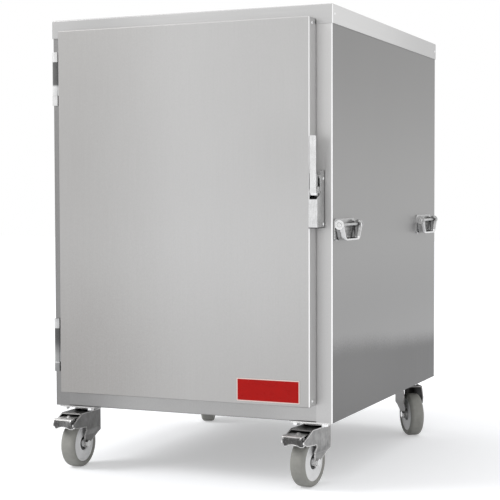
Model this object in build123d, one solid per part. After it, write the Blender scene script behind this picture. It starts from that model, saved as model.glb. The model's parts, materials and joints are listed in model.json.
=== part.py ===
"""Closed, insulated stainless-steel proofing cabinet on four swivel casters.

Working frame: X to the right, Y rearwards from the front face of the body, Z up from the floor.
All pieces are moved together at the end, so that the origin lies on the floor under the middle
of the overall footprint, with the door facing -Y.
"""
from build123d import *
import os

os.makedirs("parts", exist_ok=True)

# ---------------------------------------------------------------- driving dimensions, millimetres
# Body shell
BODY_W = 630.0
BODY_D = 750.0
BODY_H = 820.0
SHELL_T = 1.2
BEND_R = 2.5
STILE_W = 34.0
RAIL_H = 34.0
BACK_LAP = 40.0
CAP_T = 1.5
CAP_SKIRT = 38.0
CAP_R = 2.4
RIVET_R = 2.4
RIVET_H = 1.0
RIVET_BEVEL = 0.6
RIVET_INSET = 10.0

# Liner, insulation and tray rack
LINER_T = 1.0
LINER_BEND_R = 1.5
SIDE_WALL = 35.0
FLOOR_WALL = 38.0
ROOF_WALL = 43.0
BACK_WALL = 38.0
FRAME_LAP = 13.0
JAMB_D = 12.0
BOARD_GAP = 4.0
DISH_SKIN_R = 2.0
UPRIGHT_W = 25.0
UPRIGHT_D = 10.0
UPRIGHT_T = 1.5
UPRIGHT_INSET = 80.0
RUNNER_T = 1.5
RUNNER_LEDGE = 17.0
RUNNER_WEB = 14.0
RUNNER_PITCH = 80.0
RUNNER_FIRST = 40.0
RUNNER_HEADROOM = 48.0
RUNNER_END_GAP = 28.0

# Door
DOOR_T = 32.0
DOOR_TOP_GAP = 27.0
DOOR_R = 2.4
SEAL_GAP = 0.3
SEAL_T = 4.7
SEAL_W = 10.0
SEAL_INSET = 2.0
SEAL_ROUND = 1.6
DISH_LAP = 21.0
DISH_H = 4.0
LABEL_W = 134.0
LABEL_H = 45.5
LABEL_T = 0.8
LABEL_R = 2.0
LABEL_SIDE_INSET = 20.5
LABEL_BOTTOM_INSET = 6.3
EDGE_SCREW_R = 3.2
EDGE_SCREW_H = 1.4
EDGE_SCREW_INSET = 11.0

# Hinges
HINGE_H = 111.5
HINGE_END_INSET = 44.0
KNUCKLE_H = 20.5
KNUCKLE_R = 8.0
BARREL_R = 7.4
PIN_R = 3.5
PIN_SIDE = 9.0
PIN_SETBACK = 8.0
LEAF_T = 2.5
LEAF_D = 27.0
BASE_T = 3.0
BASE_W = 18.5
RUN_CLEAR = 0.05
FACE_CLEAR = 0.3

# Latch
LATCH_W = 18.0
LATCH_WALL = 2.0
LATCH_BOTTOM = 384.0
LATCH_FRONT_H = 56.0
LATCH_INNER_H = 76.0
LATCH_INNER_R = 6.0
LATCH_OUTER_H = 113.0
LATCH_SLOPE_H = 14.0
LATCH_TAIL_D = 20.0
LATCH_TAIL_R = 8.0
LATCH_PROUD = 4.5
LATCH_BACK_GAP = 1.0
LEVER_W = 12.6
LEVER_T = 8.0
LEVER_TOP = 563.5
LEVER_PROUD = 3.0
LEVER_EDGE_R = 2.6
LEVER_END_R = 1.2
LEVER_PIVOT_UP = 70.0
LEVER_PIVOT_SETBACK = 12.5
LEVER_HUB_R = 11.0
LEVER_PIN_R = 2.5
LEVER_TAIL = 2.0
HEEL_W = 9.0
HEEL_REACH = 11.0
HEEL_LOW = 14.0
HEEL_HIGH = 28.0
HEEL_SLOPE = 12.0
HEEL_BITE = 4.0
HEEL_ROOT = (-4.0, 6.0)
STRIKE_W = 10.0
STRIKE_BASE_T = 2.5
STRIKE_LAP = 1.0
STRIKE_NOSE_H = 18.0
STRIKE_NOSE_R = 5.0
STRIKE_GROOVE_W = 2.0
STRIKE_GROOVE_D = 1.5
STRIKE_GROOVE_H = 9.0
STRIKE_GROOVE_OUT = 2.5
STRIKE_RIM = 2.0
STRIKE_TAPER = 12.0
STRIKE_TAIL_W = 3.0
STRIKE_TAIL_H = 30.0
STRIKE_GAP = 0.5
LATCH_SCREW_SETBACK = 7.0
LATCH_SCREW_END = 8.0

# Drop handles
HANDLE_L = 118.0
HANDLE_H = 43.0
HANDLE_BOTTOM = 359.0
HANDLE_FRONT_Y = 67.0
HANDLE_REAR_Y = 640.0
HANDLE_PLATE_T = 2.5
HANDLE_PLATE_R = 5.0
EAR_T = 2.5
EAR_R = 9.5
EAR_DROP = 12.0
EAR_NECK_H = 11.0
SPINDLE_OUT = 11.5
SPINDLE_R = 3.0
SPINDLE_HEAD_R = 4.5
SPINDLE_HEAD_H = 2.0
SPINDLE_HEAD_BEVEL = 0.8
BAIL_W = 17.0
BAIL_T = 3.0
BAIL_TAPER = 4.0
BAIL_KNEE = 12.0
BAIL_CORNER_R = 7.0
BAIL_EAR_GAP = 0.5
HANDLE_SCREW_R = 5.0
HANDLE_SCREW_H = 1.8
SCREW_BEVEL = 0.9
HANDLE_SCREW_UP = 11.5
RIB_L = 70.0
RIB_H = 3.0
RIB_T = 0.8
RIB_UP = 21.5

# Casters
CASTER_H = 130.0
CASTER_SIDE_INSET = 50.0
CASTER_FRONT_INSET = 50.5
CASTER_REAR_INSET = 75.0
PLATE_X = 85.0
PLATE_Y = 100.0
PLATE_T = 3.0
PLATE_R = 6.0
HOLES_X = 60.0
HOLES_Y = 80.0
SLOT_W = 9.0
SLOT_L = 13.0
BOLT_R = 4.0
BOLT_HEAD_AF = 13.0
BOLT_HEAD_H = 5.3
DOUBLER_T = 3.0
RACE_R = 30.0
RACE_BEVEL = 2.5
KINGPIN_R = 6.0
KINGPIN_NUT_AF = 19.0
KINGPIN_NUT_H = 6.0
WHEEL_R = 50.0
TYRE_W = 32.0
TYRE_SHOULDER_R = 4.0
CORE_R = 38.0
CORE_W = 27.0
HUB_R = 8.0
HUB_POCKET_R = 15.0
HUB_POCKET_D = 6.0
CORE_RIM_W = 2.5
CORE_DISH_D = 1.5
CORE_DISH_OUT = 6.0
CORE_DISH_IN = 5.0
TYRE_WALL_IN = 3.0
AXLE_R = 4.0
AXLE_HEAD_AF = 13.0
AXLE_HEAD_H = 5.3
WHEEL_SIDE_PLAY = 2.0
TRAIL = 42.0
FORK_T = 2.5
FORK_TOP = 12.0
FORK_CHEEK_W = 50.0
FORK_LEG_SIDE_GAP = 0.3
FORK_BEND_R = 3.5
FORK_BACK = 22.0
FORK_CORNER_R = 16.0
FORK_RETURN = 6.0
FORK_ROOF_FRONT = 66.0
FORK_NOSE_FRONT = 105.0
FORK_NOSE_TOP = 30.5
FORK_NOSE_BOTTOM = 35.0
FORK_CHIN_FRONT = 92.0
FORK_CHIN_DROP = 41.0
FORK_BOSS_R = 9.0
FORK_STEP_LOW = 18.0
FORK_STEP_HIGH = 30.0
FORK_FOOT = 1.0
FORK_HEEL_UP = 24.0
FORK_HEEL_IN = 3.0
FORK_THROAT_IN = 1.0
FORK_THROAT_DROP = 44.0
FORK_TOE_IN = 2.0
FORK_TOE_UP = 4.0
REAR_ROOF_FRONT = 46.0
REAR_THROAT_OUT = 5.0
REAR_THROAT_DROP = 37.0
PEDAL_PIVOT_U = 60.0
PEDAL_PIVOT_DROP = 26.0
PEDAL_PIVOT_R = 3.0
PEDAL_BOSS_R = 5.0
PEDAL_T = 2.0
PEDAL_TAIL = 10.0
PEDAL_ARM_W = 40.0
PEDAL_HEAD_W = 44.0
PEDAL_HEAD_L = 12.0
PEDAL_REACH = 112.0
PEDAL_TOP_DROP = 19.5
PEDAL_EDGE_R = 5.0
LIP_H = 22.0
LIP_LEAN = 8.0
LIP_ARCH = 4.5
LIP_END_W = 7.0
DIMPLE_R = 6.0
DIMPLE_TOP_R = 2.0
DIMPLE_H = 3.0
SHOE_W = 24.0
SHOE_BACK = 8.0
SHOE_L = 10.0
SHOE_GAP = 0.6

# Directions in which the casters trail, in degrees turned from straight forwards towards +X
CASTERS = {
    "front_left": {"side": -1, "front": True, "turn": 0.0},
    "front_right": {"side": 1, "front": True, "turn": -7.0},
    "rear_left": {"side": -1, "front": False, "turn": 20.0},
    "rear_right": {"side": 1, "front": False, "turn": 35.0},
}

# ---------------------------------------------------------------- shared planes and lines
HALF_W = BODY_W / 2
BODY_Z0 = CASTER_H
BODY_Z1 = BODY_Z0 + BODY_H
SHELL_TOP = BODY_Z1 - CAP_T
SKIRT_Z = BODY_Z1 - CAP_SKIRT
DOOR_EDGE = HALF_W - STILE_W
DOOR_Z0 = BODY_Z0 + RAIL_H
DOOR_Z1 = BODY_Z1 - DOOR_TOP_GAP
DOOR_BACK = -(SEAL_GAP + SEAL_T)
DOOR_FRONT = DOOR_BACK - DOOR_T
INNER_SKIN_Y = DOOR_BACK - LINER_T
FRAME_TOP = SKIRT_Z - LINER_T
OPEN_X = DOOR_EDGE - FRAME_LAP
OPEN_Z0 = DOOR_Z0 + FRAME_LAP
OPEN_Z1 = FRAME_TOP - FRAME_LAP
LINER_X = HALF_W - SIDE_WALL
LINER_Z0 = BODY_Z0 + FLOOR_WALL
LINER_Z1 = BODY_Z1 - ROOF_WALL
LINER_Y = BODY_D - BACK_WALL
JAMB_BACK = JAMB_D + LINER_T + LINER_BEND_R
PAN_TOP = BODY_Z0 + SHELL_T
BACK_INNER_Y = BODY_D - 2 * SHELL_T
PIN_X = -(DOOR_EDGE + PIN_SIDE)
PIN_Y = DOOR_FRONT + PIN_SETBACK
LATCH_X0 = DOOR_EDGE
LATCH_X1 = DOOR_EDGE + LATCH_W
LATCH_Z0 = BODY_Z0 + LATCH_BOTTOM
LATCH_FRONT = DOOR_FRONT - LATCH_PROUD
LEVER_PIVOT_Y = LATCH_FRONT + LEVER_PIVOT_SETBACK
LEVER_PIVOT_Z = LATCH_Z0 + LEVER_PIVOT_UP
CASTER_X = HALF_W - CASTER_SIDE_INSET
WHEEL_DROP = CASTER_H - WHEEL_R
LEG_OUTER = TYRE_W / 2 + WHEEL_SIDE_PLAY + FORK_T


def block(x, y, z):
    """Rectangular block between a pair of limits along each axis."""
    size = [limits[1] - limits[0] for limits in (x, y, z)]
    return Pos(x[0], y[0], z[0]) * Box(*size, align=(Align.MIN, Align.MIN, Align.MIN))


def rod(radius, start, end):
    """Round bar between two points that lie along one axis."""
    direction = Vector(*end) - Vector(*start)
    ends = Plane(origin=start, z_dir=direction)
    return extrude(ends * Circle(radius), direction.length)


def folded(points, thickness, radius=BEND_R):
    """Section of a folded sheet whose mid-line runs through the points."""
    return trace(FilletPolyline(*points, radius=radius), line_width=thickness)


def across(section, x0, x1):
    """A section drawn in Y and Z, as a solid from x0 to x1."""
    return extrude(Plane.YZ.offset(x0) * section, x1 - x0, dir=(1, 0, 0))


def along(section, y0, y1):
    """A section drawn in X and Z, as a solid from y0 to y1."""
    return extrude(Plane.XZ.offset(-y0) * section, y1 - y0, dir=(0, 1, 0))


def upright(section, z0, z1):
    """A section drawn in X and Y, as a solid from z0 to z1."""
    return extrude(Pos(0, 0, z0) * section, z1 - z0, dir=(0, 0, 1))


def both_sides(piece):
    """The piece on the right and its mirror image on the left."""
    return [piece, mirror(piece, about=Plane.YZ)]


def group(pieces):
    """Separate solids kept together under one name."""
    return Compound([solid for piece in pieces for solid in piece.solids()])


# ---------------------------------------------------------------- body shell
def side_panel():
    """Right side: one sheet folded round into the front stile and a narrow return at the back."""
    mid = SHELL_T / 2
    outer = HALF_W - mid
    rear = BODY_D - mid
    path = [(DOOR_EDGE, mid), (outer, mid), (outer, rear), (outer - BACK_LAP, rear)]
    return upright(folded(path, SHELL_T), BODY_Z0, SHELL_TOP)


def back_panel():
    """Back sheet, lapped in front of the side panels' returns."""
    edge = HALF_W - SHELL_T - BEND_R
    return block((-edge, edge), (BACK_INNER_Y, BODY_D - SHELL_T), (BODY_Z0, SHELL_TOP))


def caster_places():
    """Name, X and Y of each caster's swivel axis."""
    rear_y = BODY_D - CASTER_REAR_INSET
    for name, spec in CASTERS.items():
        yield name, spec["side"] * CASTER_X, CASTER_FRONT_INSET if spec["front"] else rear_y


def caster_hole_centres(x, y):
    """The four bolt places round one swivel axis."""
    return [(x + i * HOLES_X / 2, y + j * HOLES_Y / 2) for i in (-1, 1) for j in (-1, 1)]


def bottom_pan():
    """Floor sheet with its front edge folded up into the rail between the stiles."""
    mid = SHELL_T / 2
    path = [(mid, DOOR_Z0), (mid, BODY_Z0 + mid), (BACK_INNER_Y, BODY_Z0 + mid)]
    edge = DOOR_EDGE - RUN_CLEAR
    pan = across(folded(path, SHELL_T), -edge, edge)
    length = (SHELL_T + BEND_R, BACK_INNER_Y - BEND_R)
    side_strip = block((edge, HALF_W - SHELL_T), length, (BODY_Z0, PAN_TOP))
    for strip in both_sides(side_strip):
        pan += strip
    for _, x, y in caster_places():
        for hole in caster_hole_centres(x, y):
            pan -= rod(SLOT_W / 2, (*hole, BODY_Z0), (*hole, PAN_TOP))
    return pan


def top_cap():
    """Lid with a turned-down skirt, dropped over the body."""
    edge = HALF_W + CAP_T
    outer = block((-edge, edge), (-CAP_T, BODY_D + CAP_T), (SKIRT_Z, BODY_Z1))
    corners = outer.edges().filter_by(Axis.Z)
    rim = outer.edges().group_by(Axis.Z)[-1]
    outer = fillet(corners + rim, CAP_R)
    return outer - block((-HALF_W, HALF_W), (0, BODY_D), (SKIRT_Z, SHELL_TOP))


def cap_rivets():
    """Bevelled rivet heads on the skirt, near its front and back corners."""
    x = HALF_W + CAP_T
    z = BODY_Z1 - CAP_SKIRT / 2
    rivets = []
    for y in (RIVET_INSET, BODY_D - RIVET_INSET):
        head = rod(RIVET_R, (x, y, z), (x + RIVET_H, y, z))
        head = chamfer(head.edges().group_by(Axis.X)[-1], RIVET_BEVEL)
        rivets += both_sides(head)
    return group(rivets)


# ---------------------------------------------------------------- liner and insulation
def side_liner():
    """Right liner: gasket land in front, a jamb step, then the smooth side wall."""
    mid = LINER_T / 2
    land = OPEN_X + mid
    wall = LINER_X - mid
    path = [(DOOR_EDGE, mid), (land, mid), (land, JAMB_D), (wall, JAMB_D), (wall, LINER_Y)]
    return upright(folded(path, LINER_T, LINER_BEND_R), DOOR_Z0, FRAME_TOP)


def jamb_sheet(z0, z1):
    """Level liner sheet, narrower between the jambs than behind them."""
    inner = LINER_X - LINER_T
    behind = block((-inner, inner), (JAMB_BACK, LINER_Y), (z0, z1))
    between = block((-OPEN_X, OPEN_X), (LINER_T, JAMB_BACK), (z0, z1))
    return behind + between


def floor_liner():
    """Liner floor with an upstand at the door."""
    sill = block((-OPEN_X, OPEN_X), (0, LINER_T), (DOOR_Z0, OPEN_Z0))
    return jamb_sheet(LINER_Z0 - LINER_T, LINER_Z0) + sill


def roof_liner():
    """Liner roof with the header that rises behind the cap's skirt."""
    land = block((-OPEN_X, OPEN_X), (0, LINER_T), (OPEN_Z1, FRAME_TOP))
    header = block((-DOOR_EDGE, DOOR_EDGE), (0, LINER_T), (FRAME_TOP, SHELL_TOP))
    return jamb_sheet(LINER_Z1, LINER_Z1 + LINER_T) + land + header


def back_liner():
    """Liner back sheet, behind the side, floor and roof sheets."""
    span = (LINER_Z0 - LINER_T, LINER_Z1 + LINER_T)
    return block((-LINER_X, LINER_X), (LINER_Y, LINER_Y + LINER_T), span)


def wall_insulation():
    """Foam boards between the shell and the liner: two sides, back, floor and roof."""
    front = SHELL_T + BOARD_GAP
    rear = BACK_INNER_Y
    low = PAN_TOP + DOUBLER_T
    side = block((LINER_X, HALF_W - SHELL_T), (front, BODY_D - BOARD_GAP), (low, SHELL_TOP))
    side -= block((LINER_X, HALF_W), (BACK_INNER_Y, BODY_D), (low, SHELL_TOP))
    level = (LINER_T - LINER_X, LINER_X - LINER_T)
    behind = LINER_Y + LINER_T
    back = block(level, (behind, rear), (LINER_Z0 - LINER_T, LINER_Z1 + LINER_T))
    floor = block(level, (JAMB_BACK, rear), (low, LINER_Z0 - LINER_T))
    roof = block(level, (JAMB_BACK, rear), (LINER_Z1 + LINER_T, SHELL_TOP))
    return group(both_sides(side) + [back, floor, roof])


# ---------------------------------------------------------------- tray rack
RACK_X = LINER_X - LINER_T - UPRIGHT_D - RUNNER_T
RUNNER_Z = []
runner_z = LINER_Z0 + RUNNER_FIRST
while runner_z < OPEN_Z1 - RUNNER_HEADROOM:
    RUNNER_Z.append(runner_z)
    runner_z += RUNNER_PITCH


def rack_uprights():
    """Two channel posts on each side wall, which carry the runners."""
    face = RACK_X + RUNNER_T
    back = LINER_X - LINER_T
    posts = []
    for y in (UPRIGHT_INSET, LINER_Y - UPRIGHT_INSET):
        span = (y - UPRIGHT_W / 2, y + UPRIGHT_W / 2)
        post = block((face, back), span, (LINER_Z0, LINER_Z1))
        hollow = (span[0] + UPRIGHT_T, span[1] - UPRIGHT_T)
        post -= block((face + UPRIGHT_T, back), hollow, (LINER_Z0, LINER_Z1))
        posts += both_sides(post)
    return group(posts)


def tray_runners():
    """Right ledges: angles with the ledge on top and the web below it, one for each tray."""
    tip = RACK_X + RUNNER_T - RUNNER_LEDGE
    length = (RUNNER_END_GAP, LINER_Y - RUNNER_END_GAP)
    runners = []
    for z in RUNNER_Z:
        ledge = block((tip, RACK_X + RUNNER_T), length, (z - RUNNER_T, z))
        web = block((RACK_X, RACK_X + RUNNER_T), length, (z - RUNNER_WEB, z))
        runners.append(ledge + web)
    return group(runners)


# ---------------------------------------------------------------- door
def door_outer_skin():
    """Pan of the door: front face and four turned-back edges."""
    depth = (DOOR_FRONT, INNER_SKIN_Y)
    outer = block((-DOOR_EDGE, DOOR_EDGE), depth, (DOOR_Z0, DOOR_Z1))
    edges = outer.edges().group_by(Axis.Y)[0] + outer.edges().filter_by(Axis.Y)
    outer = fillet(edges, DOOR_R)
    return outer - door_filling()


def door_filling():
    """Foam that fills the door's pan."""
    edge = DOOR_EDGE - SHELL_T
    depth = (DOOR_FRONT + SHELL_T, INNER_SKIN_Y)
    return block((-edge, edge), depth, (DOOR_Z0 + SHELL_T, DOOR_Z1 - SHELL_T))


def door_inner_skin():
    """Inner sheet with a shallow dish pressed towards the chamber."""
    sheet = block((-DOOR_EDGE, DOOR_EDGE), (INNER_SKIN_Y, DOOR_BACK), (DOOR_Z0, DOOR_Z1))
    sheet = fillet(sheet.edges().filter_by(Axis.Y), DOOR_R)
    x = DOOR_EDGE - FRAME_LAP - DISH_LAP / 2
    z = (OPEN_Z0 + DISH_LAP / 2, OPEN_Z1 - DISH_LAP / 2)
    dish = block((-x, x), (DOOR_BACK, DOOR_BACK + DISH_H), z)
    dish = fillet(dish.edges().filter_by(Axis.Y) + dish.edges().group_by(Axis.Y)[-1], DISH_SKIN_R)
    t = LINER_T
    hollow = block((t - x, x - t), (INNER_SKIN_Y, DOOR_BACK + DISH_H - t), (z[0] + t, z[1] - t))
    return sheet + dish - hollow


def door_gasket():
    """Seal all round the door's back, which closes on the gasket land."""
    x = DOOR_EDGE - SEAL_INSET
    z0 = DOOR_Z0 + SEAL_INSET
    z1 = FRAME_TOP - LINER_T
    seal = block((-x, x), (DOOR_BACK, -SEAL_GAP), (z0, z1))
    inner = x - SEAL_W
    seal -= block((-inner, inner), (DOOR_BACK, 0), (z0 + SEAL_W, z1 - SEAL_W))
    return fillet(seal.edges().group_by(Axis.Y)[-1], SEAL_ROUND)


def label_plate():
    """Thin plain plate low on the door's latch side."""
    x1 = DOOR_EDGE - LABEL_SIDE_INSET
    z0 = DOOR_Z0 + LABEL_BOTTOM_INSET
    plate = block((x1 - LABEL_W, x1), (DOOR_FRONT - LABEL_T, DOOR_FRONT), (z0, z0 + LABEL_H))
    return fillet(plate.edges().filter_by(Axis.Y), LABEL_R)


def screw_head(centre, radius, height):
    """Low bevelled screw head that stands out of a face towards +X."""
    x, y, z = centre
    head = rod(radius, centre, (x + height, y, z))
    return chamfer(head.edges().group_by(Axis.X)[-1], SCREW_BEVEL)


def door_screws():
    """Edge screws at the door's four corners and the two that hold the latch housing."""
    y = (DOOR_FRONT + DOOR_BACK) / 2
    screws = []
    for z in (DOOR_Z0 + EDGE_SCREW_INSET, DOOR_Z1 - EDGE_SCREW_INSET):
        screws += both_sides(screw_head((DOOR_EDGE, y, z), EDGE_SCREW_R, EDGE_SCREW_H))
    latch_top = LATCH_Z0 + LATCH_OUTER_H - LATCH_SCREW_END * 2
    for z in (LATCH_Z0 + LATCH_SCREW_END, latch_top):
        place = (LATCH_X1, -LATCH_SCREW_SETBACK, z)
        screws.append(screw_head(place, EDGE_SCREW_R, EDGE_SCREW_H))
    return group(screws)


# ---------------------------------------------------------------- hinges
def hinge_frame_leaf(z0):
    """Base plate on the stile with a knuckle block at each end, bored for the pin."""
    x1 = PIN_X + KNUCKLE_R
    leaf = block((x1 - BASE_W, x1), (-BASE_T, 0), (z0, z0 + HINGE_H))
    for z in (z0, z0 + HINGE_H - KNUCKLE_H):
        lug = Pos(PIN_X, PIN_Y) * Circle(KNUCKLE_R)
        lug += Pos(PIN_X, PIN_Y / 2) * Rectangle(2 * KNUCKLE_R, -PIN_Y)
        leaf += upright(lug, z, z + KNUCKLE_H)
    return leaf - rod(PIN_R, (PIN_X, PIN_Y, z0), (PIN_X, PIN_Y, z0 + HINGE_H))


def hinge_door_leaf(z0):
    """Barrel between the knuckle blocks, with a leaf on the door's edge."""
    low = z0 + KNUCKLE_H + FACE_CLEAR
    high = z0 + HINGE_H - KNUCKLE_H - FACE_CLEAR
    leaf_x = -DOOR_EDGE - LEAF_T
    section = Pos(PIN_X, PIN_Y) * Circle(BARREL_R)
    y0 = DOOR_FRONT + DOOR_R
    section += Pos(leaf_x + LEAF_T / 2, y0 + LEAF_D / 2) * Rectangle(LEAF_T, LEAF_D)
    section += Pos((PIN_X + leaf_x) / 2, PIN_Y) * Rectangle(leaf_x - PIN_X, BARREL_R)
    leaf = upright(section, low, high)
    return leaf - rod(PIN_R + RUN_CLEAR, (PIN_X, PIN_Y, low), (PIN_X, PIN_Y, high))


def hinge_pin(z0):
    """Straight pin, flush with the ends of the knuckle blocks."""
    return rod(PIN_R, (PIN_X, PIN_Y, z0), (PIN_X, PIN_Y, z0 + HINGE_H))


HINGE_Z = {
    "upper": DOOR_Z1 - HINGE_END_INSET - HINGE_H,
    "lower": DOOR_Z0 + HINGE_END_INSET,
}


# ---------------------------------------------------------------- latch
def latch_outer_cheek():
    """Outer cheek: full depth low down, then sloped back to a tail with a rounded end."""
    back = -LATCH_BACK_GAP
    shoulder = LATCH_Z0 + LATCH_FRONT_H
    top = LATCH_Z0 + LATCH_OUTER_H
    tail = back - LATCH_TAIL_D
    outline = [
        (back, LATCH_Z0), (LATCH_FRONT, LATCH_Z0), (LATCH_FRONT, shoulder),
        (tail, shoulder + LATCH_SLOPE_H), (tail, top), (back, top),
    ]
    cheek = across(Polygon(*outline, align=None), LATCH_X1 - LATCH_WALL, LATCH_X1)
    tail_corner = cheek.edges().filter_by(Axis.X).group_by(Axis.Z)[-1].sort_by(Axis.Y)[0]
    return fillet(tail_corner, LATCH_TAIL_R)


def latch_inner_cheek():
    """Inner cheek on the door's edge, with rounded upper corners."""
    span = (LATCH_Z0, LATCH_Z0 + LATCH_INNER_H)
    cheek = block((LATCH_X0, LATCH_X0 + LATCH_WALL), (LATCH_FRONT, -LATCH_BACK_GAP), span)
    top = cheek.edges().filter_by(Axis.X).group_by(Axis.Z)[-1]
    return fillet(top, LATCH_INNER_R)


def latch_housing():
    """Pressed housing on the door's edge: two cheeks, a front and a floor, open to the stile."""
    housing = latch_inner_cheek() + latch_outer_cheek()
    x = (LATCH_X0, LATCH_X1)
    front_y = (LATCH_FRONT, LATCH_FRONT + LATCH_WALL)
    housing += block(x, front_y, (LATCH_Z0, LATCH_Z0 + LATCH_FRONT_H))
    depth = (LATCH_FRONT, -LATCH_BACK_GAP)
    housing += block(x, depth, (LATCH_Z0, LATCH_Z0 + LATCH_WALL))
    pivot = (LEVER_PIVOT_Y, LEVER_PIVOT_Z)
    return housing - rod(LEVER_PIN_R, (LATCH_X0, *pivot), (LATCH_X1, *pivot))


def latch_pin():
    """Pin through both cheeks of the housing."""
    pivot = (LEVER_PIVOT_Y, LEVER_PIVOT_Z)
    return rod(LEVER_PIN_R, (LATCH_X0, *pivot), (LATCH_X1, *pivot))


def latch_lever():
    """Upright pull lever: hub on the pin, finger bar above it and a heel towards the strike."""
    y = LEVER_PIVOT_Y
    z = LEVER_PIVOT_Z
    mid_x = (LATCH_X0 + LATCH_X1) / 2
    hub_half = LATCH_W / 2 - LATCH_WALL - FACE_CLEAR
    hub = rod(LEVER_HUB_R, (mid_x - hub_half, y, z), (mid_x + hub_half, y, z))
    front = LATCH_FRONT - LEVER_PROUD
    span = (z - LEVER_TAIL, BODY_Z0 + LEVER_TOP)
    bar = block((mid_x - LEVER_W / 2, mid_x + LEVER_W / 2), (front, front + LEVER_T), span)
    bar = fillet(bar.edges().filter_by(Axis.Z), LEVER_EDGE_R)
    bar = fillet(bar.edges().group_by(Axis.Z)[-1], LEVER_END_R)
    tip = y + HEEL_REACH
    outline = [
        (y + HEEL_ROOT[0], z), (y + HEEL_ROOT[1], z), (tip, z + HEEL_LOW),
        (tip, z + HEEL_HIGH), (front + HEEL_BITE, z + HEEL_HIGH + HEEL_SLOPE),
    ]
    heel = across(Polygon(*outline, align=None), mid_x - HEEL_W / 2, mid_x + HEEL_W / 2)
    bore = LEVER_PIN_R + RUN_CLEAR
    return hub + bar + heel - rod(bore, (LATCH_X0, y, z), (LATCH_X1, y, z))


def latch_strike():
    """Keeper on the stile: tapering base and a rounded, grooved nose in front of the heel."""
    mid_x = (LATCH_X0 + LATCH_X1) / 2
    half = STRIKE_W / 2
    z0 = LEVER_PIVOT_Z + HEEL_LOW - STRIKE_LAP
    z1 = z0 + STRIKE_NOSE_H
    nose_y = LEVER_PIVOT_Y + HEEL_REACH + STRIKE_GAP
    nose = block((mid_x - half, mid_x + half), (nose_y, 0), (z0, z1))
    nose = fillet(nose.edges().filter_by(Axis.X).group_by(Axis.Y)[0], STRIKE_NOSE_R)
    groove = Box(STRIKE_GROOVE_W, 2 * STRIKE_GROOVE_D, STRIKE_GROOVE_H)
    for side in (-1, 1):
        nose -= Pos(mid_x + side * STRIKE_GROOVE_OUT, nose_y, (z0 + z1) / 2) * groove
    tail = STRIKE_TAIL_W / 2
    low = z0 - STRIKE_RIM - STRIKE_TAPER
    right = [
        (mid_x + half, z1 + STRIKE_RIM), (mid_x + half, z0 - STRIKE_RIM),
        (mid_x + tail, low), (mid_x + tail, z0 - STRIKE_TAIL_H),
    ]
    left = [(2 * mid_x - x, z) for x, z in reversed(right)]
    return nose + along(Polygon(*right, *left, align=None), -STRIKE_BASE_T, 0)


# ---------------------------------------------------------------- drop handles
HANDLE_Z0 = BODY_Z0 + HANDLE_BOTTOM
HANDLE_Z1 = HANDLE_Z0 + HANDLE_H
SPINDLE_X = HALF_W + SPINDLE_OUT
SPINDLE_Z = HANDLE_Z1 - EAR_DROP
BAIL_LEG_Y = HANDLE_L / 2 - EAR_T - BAIL_EAR_GAP - BAIL_T / 2


def handle_plate(y):
    """Wall plate with an ear turned out at each end, a pressed rib and one screw head."""
    half = HANDLE_L / 2
    wall = (HALF_W, HALF_W + HANDLE_PLATE_T)
    plate = block(wall, (y - half, y + half), (HANDLE_Z0, HANDLE_Z1))
    plate = fillet(plate.edges().filter_by(Axis.X), HANDLE_PLATE_R)
    ear = Pos(SPINDLE_X, SPINDLE_Z) * Circle(EAR_R)
    root_x = (HALF_W + SPINDLE_X) / 2
    ear += Pos(root_x, SPINDLE_Z) * Rectangle(SPINDLE_OUT, EAR_NECK_H)
    for start in (y - half, y + half - EAR_T):
        plate += along(ear, start, start + EAR_T)
    face = HALF_W + HANDLE_PLATE_T
    rib_z = HANDLE_Z0 + RIB_UP
    rib_span = (y - RIB_L / 2, y + RIB_L / 2)
    plate += block((face, face + RIB_T), rib_span, (rib_z - RIB_H / 2, rib_z + RIB_H / 2))
    plate += screw_head((face, y, HANDLE_Z0 + HANDLE_SCREW_UP), HANDLE_SCREW_R, HANDLE_SCREW_H)
    bore_start = (SPINDLE_X, y - half, SPINDLE_Z)
    return plate - rod(SPINDLE_R, bore_start, (SPINDLE_X, y + half, SPINDLE_Z))


def handle_spindle(y):
    """Spindle through both ears, headed at each end."""
    half = HANDLE_L / 2
    spindle = rod(SPINDLE_R, (SPINDLE_X, y - half, SPINDLE_Z), (SPINDLE_X, y + half, SPINDLE_Z))
    for face, out in ((y - half, -1), (y + half, 1)):
        start = (SPINDLE_X, face, SPINDLE_Z)
        end = (SPINDLE_X, face + out * SPINDLE_HEAD_H, SPINDLE_Z)
        head = rod(SPINDLE_HEAD_R, start, end)
        tip = head.edges().sort_by(Axis.Y)[0 if out < 0 else -1]
        spindle += chamfer(tip, SPINDLE_HEAD_BEVEL)
    return spindle


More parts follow.
